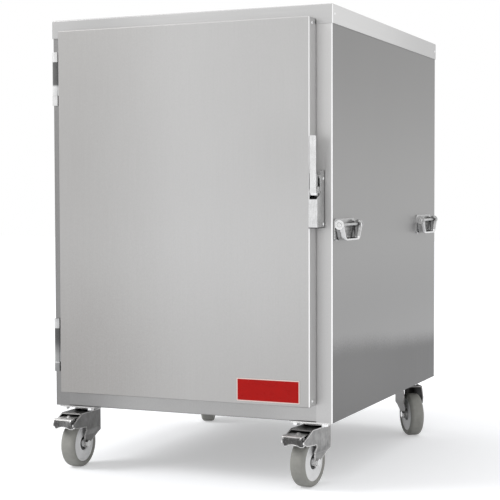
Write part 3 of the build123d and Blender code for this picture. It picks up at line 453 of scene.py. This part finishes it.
SEAL_DARK = shade(0.66)
SEAL_LIGHT = shade(0.80, 0.01)
SEAL_DUST = (160, 160, 160)


def seal_rubber():
    finish = Finish("seal_rubber")
    dust = finish.noise(finish.place(), SEAL_DUST, **FINE)
    return finish.surface({
        "Base Color": finish.tint(dust, SEAL_DARK, SEAL_LIGHT),
        "Roughness": 0.62 + dust * 0.15,
        "Normal": finish.bump(dust, depth=0.0002),
    })


dress(door_steel(), "door_outer_skin")
seal_finish = seal_rubber()
dress(seal_finish, "door_gasket")


def add_mesh(name, mesh_maker, material):
    """A new piece from a function that fills a bmesh."""
    mesh = bpy.data.meshes.new(name)
    build = bmesh.new()
    mesh_maker(build)
    bmesh.ops.recalc_face_normals(build, faces=build.faces)
    build.to_mesh(mesh)
    build.free()
    mesh.materials.append(material)
    piece = bpy.data.objects.new(name, mesh)
    bpy.context.collection.objects.link(piece)
    return piece


def joined(build, low, high):
    """Faces between two rings of as many points."""
    faces = []
    for step in range(len(low)):
        after = (step + 1) % len(low)
        faces.append(build.faces.new([low[step], low[after], high[after], high[step]]))
    return faces


LIP_IN = 0.0006
LIP_W = 0.0012
LIP_ROOT = 0.0004
LIP_GAP = 0.0004
skin_low, skin_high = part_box("door_inner_skin")


def seal_lip_mesh(build):
    """A thin lip all round, from the door's back to just short of the body's stiles. At the
    head it dips into the cap's skirt, which stands out by the cap's thickness."""
    rings = []
    for inset in (LIP_IN, LIP_IN + LIP_W):
        for y in (skin_high.y - LIP_ROOT, body_front - LIP_GAP):
            x0, x1 = skin_low.x + inset, skin_high.x - inset
            z0, z1 = skin_low.z + inset, skin_high.z - inset
            corners = [(x0, z0), (x1, z0), (x1, z1), (x0, z1)]
            rings.append([build.verts.new((x, y, z)) for x, z in corners])
    outer_door, outer_body, inner_door, inner_body = rings
    joined(build, outer_door, outer_body)
    joined(build, outer_body, inner_body)
    joined(build, inner_body, inner_door)
    joined(build, inner_door, outer_door)


seal_lip = add_mesh("door_seal_lip", seal_lip_mesh, seal_finish)
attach(seal_lip, "door")


# ---------------------------------------------------------------- screws in the door's edges
# Low domed stainless screws with a cross recess: one at each corner of the door's edges and two
# through the outer cheek of the latch housing. Each is driven home to its own angle.
SCREW_R = 0.0032
SCREW_RISE = 0.0014
SCREW_BACK = 0.0005
SCREW_INSET = 0.011
LATCH_SCREW_FOOT = 0.008
LATCH_SCREW_HEAD = 0.016
LATCH_SCREW_IN = 0.006
EDGE_SCREW_TURN = 0.4
EDGE_SCREW_TURN_PER_M = 9
LATCH_SCREW_TURN_PER_M = 5
RECESS_HALF = 0.0019
RECESS_W = 0.0007
RECESS_DEPTH = 0.0008


def turned(build, profile, place, segments=32):
    """Revolves (radius, height) points about local Z; the ends close where the radius is 0."""
    rings = []
    for radius, height in profile:
        if radius == 0:
            rings.append([build.verts.new(place @ Vector((0, 0, height)))])
            continue
        ring = []
        for step in range(segments):
            angle = 2 * math.pi * step / segments
            point = Vector((radius * math.cos(angle), radius * math.sin(angle), height))
            ring.append(build.verts.new(place @ point))
        rings.append(ring)
    faces = []
    for low, high in zip(rings, rings[1:]):
        if len(low) == len(high):
            faces += joined(build, low, high)
            continue
        for step in range(segments):
            after = (step + 1) % segments
            if len(low) == 1:
                corners = [low[0], high[step], high[after]]
            else:
                corners = [low[step], low[after], high[0]]
            faces.append(build.faces.new(corners))
    for face in faces:
        face.smooth = True


def dome(radius, rise, steps=6):
    """Profile of a low domed head that stands on its flat back."""
    curve = [(0, 0), (radius, 0)]
    for step in range(1, steps):
        angle = math.pi / 2 * step / steps
        curve.append((radius * math.cos(angle), rise * math.sin(angle)))
    return curve + [(0, rise)]


def cut_away(piece, cutter_maker, cuts_overlap=False):
    """Cuts the shape that a function fills a bmesh with out of a piece, for good."""
    cutter = add_mesh("cutter", cutter_maker, piece.data.materials[0])
    cut = piece.modifiers.new("cut", "BOOLEAN")
    cut.operation = "DIFFERENCE"
    cut.solver = "EXACT"
    cut.use_self = cuts_overlap
    cut.object = cutter
    bpy.context.view_layer.update()
    depsgraph = bpy.context.evaluated_depsgraph_get()
    mesh = bpy.data.meshes.new_from_object(piece.evaluated_get(depsgraph))
    piece.modifiers.clear()
    piece.data = mesh
    bpy.data.objects.remove(cutter)


def screw_places():
    """Where the heads stand, with local Z out of the face."""
    mid_y = (door_low.y + door_high.y) / 2 + SCREW_BACK
    seats = []
    for side, x in ((1, door_high.x), (-1, door_low.x)):
        for z in (door_low.z + SCREW_INSET, door_high.z - SCREW_INSET):
            angle = EDGE_SCREW_TURN + EDGE_SCREW_TURN_PER_M * z
            seats.append((side, Vector((x, mid_y, z)), angle))
    for z in (latch_low.z + LATCH_SCREW_FOOT, latch_high.z - LATCH_SCREW_HEAD):
        seat = Vector((latch_high.x, latch_high.y - LATCH_SCREW_IN, z))
        seats.append((1, seat, LATCH_SCREW_TURN_PER_M * z))
    places = []
    for side, seat, angle in seats:
        outward = Matrix.Rotation(side * math.pi / 2, 4, "Y")
        places.append(Matrix.Translation(seat) @ outward @ Matrix.Rotation(angle, 4, "Z"))
    return places


def screw_mesh(build):
    for place in screw_places():
        turned(build, dome(SCREW_R, SCREW_RISE), place)


def recess_mesh(build):
    """Two crossed bars sunk into each head."""
    for place in screw_places():
        for long_axis in (0, 1):
            size = [RECESS_W, RECESS_W, 2 * RECESS_DEPTH]
            size[long_axis] = 2 * RECESS_HALF
            lift = Matrix.Translation((0, 0, SCREW_RISE))
            scale = Matrix.Diagonal((*size, 1))
            bmesh.ops.create_cube(build, size=1, matrix=place @ lift @ scale)


door_screws = add_mesh("door_screw_heads", screw_mesh, rivet_finish)
cut_away(door_screws, recess_mesh, cuts_overlap=True)
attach(door_screws, "door")
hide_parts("door_screws")


# ---------------------------------------------------------------- label plate
# A thin enamelled plate, plain red with a pale keyline round its rim, stuck on the door's foot.
# It carries no lettering.
LABEL_RED = (0.46, 0.006, 0.004)
LABEL_DEEP = (0.36, 0.005, 0.004)
LABEL_PALE = (0.80, 0.66, 0.61)
KEYLINE = 0.0021
KEYLINE_SOFT = 0.25 * KEYLINE
ENAMEL_FLOW = (60, 60, 60)
label_low, label_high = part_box("label_plate")
label_mid = (label_low + label_high) / 2


def label_enamel():
    finish = Finish("label_enamel")
    place = finish.place()
    x, y, z = place
    side = (label_high.x - label_low.x) / 2 - abs(x - label_mid.x)
    level = (label_high.z - label_low.z) / 2 - abs(z - label_mid.z)
    inset = side.math("MINIMUM", side, level)
    rim = 1 - finish.step(inset, KEYLINE - KEYLINE_SOFT, KEYLINE)
    flow = finish.noise(place, ENAMEL_FLOW)
    red = finish.tint(flow, LABEL_DEEP, LABEL_RED)
    return finish.surface({
        "Base Color": finish.tint(rim, red, LABEL_PALE),
        "Roughness": 0.28 + rim * 0.2 + flow.swing(0.06),
        "Specular IOR Level": 0.12,
        "Normal": finish.bump(flow - rim * 0.5, depth=0.00008),
    })


dress(label_enamel(), "label_plate")


# ---------------------------------------------------------------- hinges
# Cast knuckle hinges, polished, with painted light on their faces by the way they turn, painted
# shade in their gaps, and painted shadows that darken three leaves above or below a set height.
# One leaf is fixed to the body and one to the door, with a pin through both.
AO_SAMPLES = 6
HOLLOW_TO_OPEN = (0.1, 0.75)
POLISH_WAVES = (60, 60, 60)


def openness(finish, reach):
    """Near 1 on open faces and near 0 in hollows narrower than reach, in metres."""
    settings = {"samples": AO_SAMPLES}
    return finish.node("ShaderNodeAmbientOcclusion", settings, {"Distance": reach}, "AO")


def bright_steel(name, dark, light, rough, draw, sheen, hollows=0.006, shadowed=None):
    """Polished steel between two greys. draw is its draw lines to the metre and sheen the painted
    light on faces that turn along X, Y and Z. Gaps narrower than hollows get painted shade, and
    the last argument gives a painted shadow: how bright the rest stays at each depth and height,
    from 0 to 1."""
    finish = Finish(name)
    place = finish.place()
    x, y, z = place
    lines = finish.noise(place, draw, **FINE)
    waves = finish.noise(place, POLISH_WAVES)
    # Painted light: faces brighter or darker by which way they turn.
    painted_sheen = sum(way * way * bright for way, bright in zip(finish.facing(), sheen))
    tone = painted_sheen + lines.swing(0.4) + waves.swing(0.3)
    # Painted shade in gaps narrower than hollows.
    tone = tone * finish.step(openness(finish, hollows), *HOLLOW_TO_OPEN)
    if shadowed:
        tone = tone * shadowed(finish, y, z)
    return finish.surface({
        "Base Color": finish.tint(tone, shade(dark), shade(light)),
        "Metallic": 1.0,
        "Roughness": rough + lines.swing(0.10),
        "Normal": finish.bump(waves + lines * 0.05, depth=0.00035),
    })


def painted_shadow_step(measured_from, start, end, below, above):
    """A painted shadow: how bright a leaf stays. It passes from one level to another between two
    heights, both taken from the foot of a leaf."""
    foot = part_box(measured_from)[0].z

    def shadowed(finish, y, z):
        return below + finish.step(z, foot + start, foot + end) * (above - below)

    return shadowed


HINGE_DRAW = (300, 300, 40)
HINGE_SHEEN = (0.80, 0.80, 0.5)
# Painted shadows on three leaves, each above or below a set height.
HINGE_PAINTED_SHADOWS = {
    "upper_hinge_door_leaf": painted_shadow_step(
        "upper_hinge_door_leaf", start=0.018, end=0.024, below=1.0, above=0.15,
    ),
    "lower_hinge_door_leaf": painted_shadow_step(
        "lower_hinge_door_leaf", start=0.006, end=0.050, below=0.34, above=0.06,
    ),
    "lower_hinge_frame_leaf": painted_shadow_step(
        "lower_hinge_door_leaf", start=-0.004, end=-0.002, below=0.26, above=0.62,
    ),
}

hinge_steel = bright_steel(
    "hinge_steel", dark=0.16, light=0.90, rough=0.24, draw=HINGE_DRAW, sheen=HINGE_SHEEN,
)
dress(hinge_steel, "upper_hinge_frame_leaf", "hinge_pins")
for leaf, shadowed in HINGE_PAINTED_SHADOWS.items():
    leaf_finish = bright_steel(
        leaf + "_steel", dark=0.05, light=0.88, rough=0.28, draw=HINGE_DRAW,
        sheen=HINGE_SHEEN, shadowed=shadowed,
    )
    dress(leaf_finish, leaf)


# ---------------------------------------------------------------- latch
# A pressed housing on the door's edge holds a polished lever on a pin. The lever's heel closes
# on a keeper on the body, kept bright by painted light. Painted shade darkens the housing along
# its back edge and its foot, and painted light brightens faces by the way they turn.
LATCH_DRAW = (900, 900, 60)
RIM_BACK = (0.0006, 0.0034)
RIM_FOOT = (0.0004, 0.0030)


def cheek_rim(finish, y, z):
    """Painted shade along the housing's back edge and its foot."""
    from_back = finish.step(latch_high.y - y, *RIM_BACK)
    return from_back * finish.step(z - latch_low.z, *RIM_FOOT)


latch_steel = bright_steel(
    "latch_steel", dark=0.03, light=0.84, rough=0.26, draw=LATCH_DRAW,
    sheen=(0.48, 0.78, 0.5), hollows=0.003, shadowed=cheek_rim,
)
# The keeper's pale greys and even sheen are painted light against the shade it sits in.
keeper_steel = bright_steel(
    "keeper_steel", dark=0.40, light=0.95, rough=0.26, draw=LATCH_DRAW,
    sheen=(0.9, 0.9, 0.9), hollows=0.0005,
)
lever_steel = bright_steel(
    "lever_steel", dark=0.16, light=0.86, rough=0.24, draw=(700, 700, 30),
    sheen=(0.55, 0.80, 0.5),
)
dress(latch_steel, "latch_housing", "latch_pin")
dress(keeper_steel, "latch_strike")
dress(lever_steel, "latch_lever")


# ---------------------------------------------------------------- drop handles
# Two handles on the right side. The ears of a pressed plate carry a spindle, and a bail bent
# from polished strip, whose legs lean in, hangs flat from it.
BAIL_T = 0.003
BAIL_TAPER = 0.014
BAIL_KNEE = 0.006
BAIL_BEND_R = 0.012
BAIL_EDGE = 0.0005
BAIL_TIP_HALF = 0.0006
BAIL_BORE_R = 0.0035
BORE_OVER = 0.01
BEND_STEPS = 8
END_STEPS = 8
BROAD_FACES = (1, 5)


def rounded_path(corners, radius):
    """Points along straight runs with each inner corner rounded to the radius."""
    points = [corners[0]]
    for before, corner, after in zip(corners, corners[1:], corners[2:]):
        back = (before - corner).normalized()
        on = (after - corner).normalized()
        half = back.angle(on) / 2
        reach = radius / math.tan(half)
        centre = corner + (back + on).normalized() * (radius / math.sin(half))
        first = corner + back * reach - centre
        last = corner + on * reach - centre
        for step in range(BEND_STEPS + 1):
            spoke = first.slerp(last, step / BEND_STEPS).normalized()
            points.append(centre + spoke * radius)
    return points + [corners[-1]]


def strip_outline(width):
    """Points round the strip's section, edges eased: metres across it, -1 to 1 through it."""
    ease = 1 - BAIL_EDGE / (BAIL_T / 2)
    quarter = [(width, ease), (width - BAIL_EDGE, 1)]
    outer = quarter + [(-across, through) for across, through in reversed(quarter)]
    return outer + [(across, -through) for across, through in reversed(outer)]


def bail_mesh(low, high):
    """A strip bent into a tapering stirrup, its ends rounded about the spindle."""
    half_w = (high.x - low.x) / 2
    mid_x, mid_y = (high.x + low.x) / 2, (high.y + low.y) / 2
    pivot_z = high.z - half_w
    leg = (high.y - low.y) / 2 - BAIL_T / 2
    side = [
        Vector((leg, high.z)), Vector((leg, pivot_z - BAIL_KNEE)),
        Vector((leg - BAIL_TAPER, low.z + BAIL_T / 2)),
    ]
    corners = side + [Vector((-point.x, point.y)) for point in reversed(side)]
    path = rounded_path(corners, BAIL_BEND_R)
    angles = [math.pi / 2 * step / END_STEPS for step in range(END_STEPS + 1)]
    tip = [Vector((leg, pivot_z + half_w * math.cos(angle))) for angle in angles]
    far_tip = [Vector((-point.x, point.y)) for point in reversed(tip)]
    path = tip + path[1:-1] + far_tip

    def mesh(build):
        rings = []
        for index, point in enumerate(path):
            along = path[min(index + 1, len(path) - 1)] - path[max(index - 1, 0)]
            out = Vector((along.y, -along.x)).normalized() * (BAIL_T / 2)
            over = max(0.0, point.y - pivot_z)
            width = max(BAIL_TIP_HALF, math.sqrt(max(0.0, half_w ** 2 - over ** 2)))
            rings.append([
                build.verts.new((
                    mid_x + across,
                    mid_y + point.x + out.x * through,
                    point.y + out.y * through,
                ))
                for across, through in strip_outline(width)
            ])
        for low_ring, high_ring in zip(rings, rings[1:]):
            for step, face in enumerate(joined(build, low_ring, high_ring)):
                face.smooth = step in BROAD_FACES
        build.faces.new(rings[0])
        build.faces.new(rings[-1])

    return mesh


def spindle_bore(low, high):
    """One bore through both legs of a bail, along Y."""
    half_w = (high.x - low.x) / 2
    start = Vector(((low.x + high.x) / 2, low.y - BORE_OVER, high.z - half_w))
    place = Matrix.Translation(start) @ Matrix.Rotation(-math.pi / 2, 4, "X")
    length = high.y - low.y + 2 * BORE_OVER

    def mesh(build):
        turned(build, [(0, 0), (BAIL_BORE_R, 0), (BAIL_BORE_R, length), (0, length)], place)

    return mesh


# Painted light on faces by the way they turn, and painted shade in gaps under 4 mm.
handle_steel = bright_steel(
    "handle_steel", dark=0.10, light=0.92, rough=0.20, draw=(200, 900, 900),
    sheen=(0.36, 0.80, 0.4), hollows=0.004,
)
bail_steel = bright_steel(
    "bail_steel", dark=0.10, light=0.95, rough=0.18, draw=(600, 900, 60),
    sheen=(0.68, 0.30, 0.90), hollows=0.004,
)
dress(handle_steel, "right_handle_plates", "handle_spindles")
for place in ("right_front", "right_rear"):
    bail_low, bail_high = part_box(place + "_handle_bail")
    strip = add_mesh(place + "_bail_strip", bail_mesh(bail_low, bail_high), bail_steel)
    cut_away(strip, spindle_bore(bail_low, bail_high))
    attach(strip, place + "_bail")
    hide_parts(place + "_handle_bail")


# ---------------------------------------------------------------- caster forks and treadles
# Plates, kingpins and forks pressed from stainless sheet, satin on their faces, with a painted
# highlight along their edges and painted shade in their hollows, under the body, towards the back
# and to the left. Each front caster has a pressed brake treadle between its cheeks.
CASTERS = ("front_left", "front_right", "rear_left", "rear_right")
FRONT_CASTERS = CASTERS[:2]
PRESSED_DARK = shade(0.07, 0.02)
PRESSED_LIGHT = shade(0.80, 0.01)
PRESSED_DRAW = (260, 260, 90)
PRESSED_CLOUDS = (35, 35, 35)
PRESSED_TONE = 0.34
FORK_HOLLOWS = 0.03
FORK_TO_OPEN = (0.15, 0.80)
BEVEL_SAMPLES = 6
EDGE_HIGHLIGHT_R = 0.0034
EDGE_HIGHLIGHT_TURN = (0.004, 0.04)
UNDER_BACK = (-0.10, 0.10)
UNDER_BACK_LOSS = 0.75
UNDER_LEFT = (0.0, 0.1)
UNDER_LEFT_LOSS = 0.50
TREADLE_TOP_TURN = (0.4, 0.9)
TREADLE_TOP_GAIN = 0.45
TREADLE_LIP_LOSS = 0.50
TREADLE_LIP_EVEN = 0.3


def painted_edge_highlight(finish):
    """Where the painted edge highlight goes: 1 along edges and 0 on faces, by how far rounding
    the edge would turn the surface.
    """
    rounded = finish.node("ShaderNodeBevel", {"samples": BEVEL_SAMPLES}, {"Radius": EDGE_HIGHLIGHT_R})
    sharp = finish.node("ShaderNodeNewGeometry", {}, {}, "Normal")
    settings = {"operation": "DOT_PRODUCT"}
    alike = finish.node("ShaderNodeVectorMath", settings, {0: rounded, 1: sharp}, "Value")
    return finish.step(1 - alike, *EDGE_HIGHLIGHT_TURN)


def pressed_steel(name, is_treadle=False):
    """Satin pressed sheet with a painted highlight on its edges and painted shade in hollows. A
    treadle's top gets painted light and its lip painted shade; all else gets painted shade under
    the body, towards the back and the left."""
    finish = Finish(name)
    place = finish.place()
    x, y, z = place
    nx, ny, nz = finish.facing()
    drawn = finish.noise(place, PRESSED_DRAW, **FINE)
    clouds = finish.noise(place, PRESSED_CLOUDS, detail=3.0)
    # Painted shade in the hollows.
    open_face = finish.step(openness(finish, FORK_HOLLOWS), *FORK_TO_OPEN)
    edge = painted_edge_highlight(finish)
    face = PRESSED_TONE + drawn.swing(0.35) + clouds.swing(0.6)
    if is_treadle:
        upright = (nx * nx + ny * ny) ** 0.5
        # Painted light on the treadle's top and painted shade on its upright lip.
        face = face + finish.step(nz, *TREADLE_TOP_TURN) * TREADLE_TOP_GAIN
        face = face + (TREADLE_LIP_EVEN - upright) * TREADLE_LIP_LOSS
        tone = open_face * face + edge
    else:
        # Painted shade under the body, towards the back and the left.
        lit = 1 - finish.step(y, *UNDER_BACK) * UNDER_BACK_LOSS
        lit = lit - finish.step(0 - x, *UNDER_LEFT) * UNDER_LEFT_LOSS
        tone = (open_face * face + edge) * lit
    return finish.surface({
        "Base Color": finish.tint(tone, PRESSED_DARK, PRESSED_LIGHT),
        "Metallic": 1.0,
        "Roughness": 0.38 + clouds.swing(0.16) - edge * 0.08,
        "Normal": finish.bump(drawn, depth=0.00006),
    })


caster_steel = pressed_steel("pressed_steel")
treadle_steel = pressed_steel("treadle_steel", is_treadle=True)
# Bolts are evenly bright, with painted shade only in gaps under 1 mm.
bolt_steel = bright_steel(
    "bolt_steel", dark=0.20, light=0.92, rough=0.24, draw=(700, 700, 700),
    sheen=(0.85, 0.85, 0.85), hollows=0.001,
)
dress(caster_steel, "caster_top_plates", "caster_kingpins", "caster_doublers")
dress(bolt_steel, "caster_bolts")
for caster in CASTERS:
    dress(caster_steel, caster + "_fork")
    dress(bolt_steel, caster + "_axle")
for caster in FRONT_CASTERS:
    dress(treadle_steel, caster + "_brake_pedal")


# ---------------------------------------------------------------- wheels
# Grey rubber tyres moulded round pale nylon centres, which turn on steel axles. Stepped black
# plastic covers close the pockets round each hub.
TYRE_DARK = (0.225, 0.223, 0.206)
TYRE_LIGHT = (0.36, 0.357, 0.33)
TYRE_FINE = (900, 900, 900)
TYRE_DUST = (70, 70, 70)


def tyre_rubber():
    finish = Finish("tyre_rubber")
    place = finish.place()
    fine = finish.noise(place, TYRE_FINE, **FINE)
    dust = finish.noise(place, TYRE_DUST, **FINE)
    return finish.surface({
        "Base Color": finish.tint(dust, TYRE_DARK, TYRE_LIGHT),
        "Roughness": 0.62 + dust.swing(0.2),
        "Normal": finish.bump(fine, depth=0.00012),
    })


NYLON_DARK = shade(0.80)
NYLON_LIGHT = shade(0.92)
NYLON_GRAIN = (1100, 1100, 1100)
NYLON_FLOW = (45, 45, 45)


def core_nylon():
    finish = Finish("core_nylon")
    place = finish.place()
    grain = finish.noise(place, NYLON_GRAIN)
    flow = finish.noise(place, NYLON_FLOW)
    return finish.surface({
        "Base Color": finish.tint(flow, NYLON_DARK, NYLON_LIGHT),
        "Roughness": 0.38 + flow.swing(0.1),
        "Normal": finish.bump(grain, depth=0.00004),
    })


COVER_DARK = shade(0.008)
COVER_LIGHT = shade(0.02)
COVER_GRAIN = (900, 900, 900)


def cover_plastic():
    finish = Finish("cover_plastic")
    grain = finish.noise(finish.place(), COVER_GRAIN)
    return finish.surface({
        "Base Color": finish.tint(grain, COVER_DARK, COVER_LIGHT),
        "Roughness": 0.45 + grain.swing(0.15),
        "Normal": finish.bump(grain, depth=0.00008),
    })


TYRE_R = 0.050
TYRE_HALF = 0.016
SHOULDER_R = 0.0075
SHOULDER_STEPS = 6
CORE_R = 0.038
CORE_HALF = 0.0135
WALL_FOOT_W = 0.0010
WALL_FOOT_DOWN = 0.0012
WALL_HEAD_W = 0.0022
TYRE_SEGMENTS = 96
SEAM = 1e-6


def on_axle(spin, side=1):
    """A wheel's centre, with local Z along its axle towards one side."""
    way = Vector(spin["axis"]).normalized() * side
    turn = way.to_track_quat("Z", "Y").to_matrix().to_4x4()
    return Matrix.Translation(spin["pos_m"]) @ turn


def tyre_ring(spin):
    """Flat tread, round shoulders and flat side walls that drop to the core at their foot."""
    wall = [
        (CORE_R, CORE_HALF),
        (CORE_R + WALL_FOOT_W, TYRE_HALF - WALL_FOOT_DOWN),
        (CORE_R + WALL_HEAD_W, TYRE_HALF),
    ]
    for step in range(SHOULDER_STEPS + 1):
        angle = math.pi / 2 * step / SHOULDER_STEPS
        radius = TYRE_R - SHOULDER_R * (1 - math.sin(angle))
        wall.append((radius, TYRE_HALF - SHOULDER_R * (1 - math.cos(angle))))
    profile = wall + [(radius, -height) for radius, height in reversed(wall)]

    def mesh(build):
        turned(build, profile + profile[:1], on_axle(spin), TYRE_SEGMENTS)
        bmesh.ops.remove_doubles(build, verts=build.verts, dist=SEAM)

    return mesh


HUB_R = 0.0082
POCKET_R = 0.0148
POCKET_FACE = 0.0075
COVER_RISE = 0.0052
COVER_BEVEL_W = 0.0010
COVER_BEVEL_H = 0.0008
COVER_LAND_W = 0.0016
COVER_STEP_W = 0.0012
COVER_STEP_H = 0.0009
COVER_SEGMENTS = 40


def hub_covers(spin):
    """Two stepped rings that close the pockets round the hub, one on each side of the wheel."""
    low = POCKET_FACE
    high = POCKET_FACE + COVER_RISE
    profile = [
        (HUB_R, low), (POCKET_R, low), (POCKET_R, high - COVER_BEVEL_H),
        (POCKET_R - COVER_BEVEL_W, high), (HUB_R + COVER_LAND_W, high),
        (HUB_R + COVER_STEP_W, high - COVER_STEP_H), (HUB_R, high - COVER_STEP_H), (HUB_R, low),
    ]

    def mesh(build):
        for side in (1, -1):
            turned(build, profile, on_axle(spin, side), COVER_SEGMENTS)
        bmesh.ops.remove_doubles(build, verts=build.verts, dist=SEAM)

    return mesh


tyre_finish = tyre_rubber()
core_finish = core_nylon()
cover_finish = cover_plastic()
joint_of = {joint["name"]: joint for joint in frame["record"]["behaviour"]["joints"]}
for caster in CASTERS:
    dress(tyre_finish, caster + "_tyre")
    dress(core_finish, caster + "_wheel_core")
    spin = joint_of[caster + "_wheel_spin"]
    tyre = add_mesh(caster + "_tread", tyre_ring(spin), tyre_finish)
    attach(tyre, caster + "_wheel")
    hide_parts(caster + "_tyre")
    covers = add_mesh(caster + "_hub_covers", hub_covers(spin), cover_finish)
    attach(covers, caster + "_wheel")


# ---------------------------------------------------------------- floor, light and camera
# A plain pale floor under an even sky. A large soft key stands at the front left, a wider and
# weaker lamp hangs overhead, and a small one lights the right side from low down.
FLOOR_HALF = 14.0
FLOOR_PAINT = (0.80, 0.81, 0.83, 1)
# The glow is dimmer near the cabinet: painted shade round it.
GLOW_NEAR = shade(0.36)
GLOW_FAR = shade(0.50)
GLOW_REACH = (0.40, 1.15)


def seen_directly(finish):
    """1 for the camera and for what metal and glass show, 0 for light that falls on surfaces."""
    seen = 0
    for ray in ("Is Camera Ray", "Is Glossy Ray", "Is Transmission Ray"):
        seen = finish.node("ShaderNodeLightPath", {}, {}, ray) + seen
    return finish.node("ShaderNodeClamp", {}, {"Value": seen})


def floor_paint():
    """Matt paint with a glow where it is seen directly, and painted shade that dims the glow round
    the cabinet.
    """
    finish = Finish("floor_paint")
    x, y, z = finish.place()
    away = finish.step((x ** 2 + y ** 2) ** 0.5, *GLOW_REACH)
    matt = finish.node("ShaderNodeBsdfDiffuse", {}, {"Color": FLOOR_PAINT})
    glow = finish.node("ShaderNodeEmission", {}, {
        "Color": finish.tint(away, GLOW_NEAR, GLOW_FAR), "Strength": seen_directly(finish),
    })
    both = finish.node("ShaderNodeAddShader", {}, {0: matt, 1: glow})
    finish.node("ShaderNodeOutputMaterial", {}, {"Surface": both})
    return finish.owner


def floor_mesh(build):
    corners = [(-1, -1), (1, -1), (1, 1), (-1, 1)]
    build.faces.new([build.verts.new((x * FLOOR_HALF, y * FLOOR_HALF, 0)) for x, y in corners])


floor = add_mesh("floor", floor_mesh, floor_paint())

SKY_LIGHT = 0.74
SKY_SEEN = 1.0
sky = Finish("studio", bpy.data.worlds.new("studio"))
backdrop = sky.node("ShaderNodeBackground", {}, {
    "Color": (1, 1, 1, 1),
    "Strength": seen_directly(sky) * (SKY_SEEN - SKY_LIGHT) + SKY_LIGHT,
})
sky.node("ShaderNodeOutputWorld", {}, {"Surface": backdrop})

LAMPS_AIM = Vector((0, 0, 0.5))


def softbox(name, at, size, power):
    """A square area lamp aimed at the cabinet's middle."""
    lamp = bpy.data.lights.new(name, "AREA")
    lamp.shape = "SQUARE"
    lamp.size = size
    lamp.energy = power
    holder = bpy.data.objects.new(name, lamp)
    holder.location = at
    holder.rotation_euler = (LAMPS_AIM - Vector(at)).to_track_quat("-Z", "Y").to_euler()
    bpy.context.collection.objects.link(holder)


softbox("key", at=(-3.2, -1.9, 2.8), size=1.8, power=95)
softbox("top", at=(-0.3, 0.4, 3.2), size=2.4, power=14)
softbox("rim", at=(3.3, -1.3, 0.5), size=1.2, power=8)

CAMERA_AT = (1.1722, -2.7682, 0.5734)
CAMERA_TILT = 87.73
CAMERA_ROLL = -0.15
CAMERA_HEADING = 23.26
CAMERA_LENS = 94.8

scene = bpy.context.scene
scene.world = sky.owner
camera = bpy.data.objects.new("camera", bpy.data.cameras.new("camera"))
camera.data.lens = CAMERA_LENS
camera.location = CAMERA_AT
camera.rotation_euler = [math.radians(angle) for angle in (CAMERA_TILT, 0, CAMERA_HEADING)]
camera.rotation_euler.rotate_axis("Z", math.radians(CAMERA_ROLL))
scene.collection.objects.link(camera)
scene.camera = camera
scene.view_settings.view_transform = "Standard"
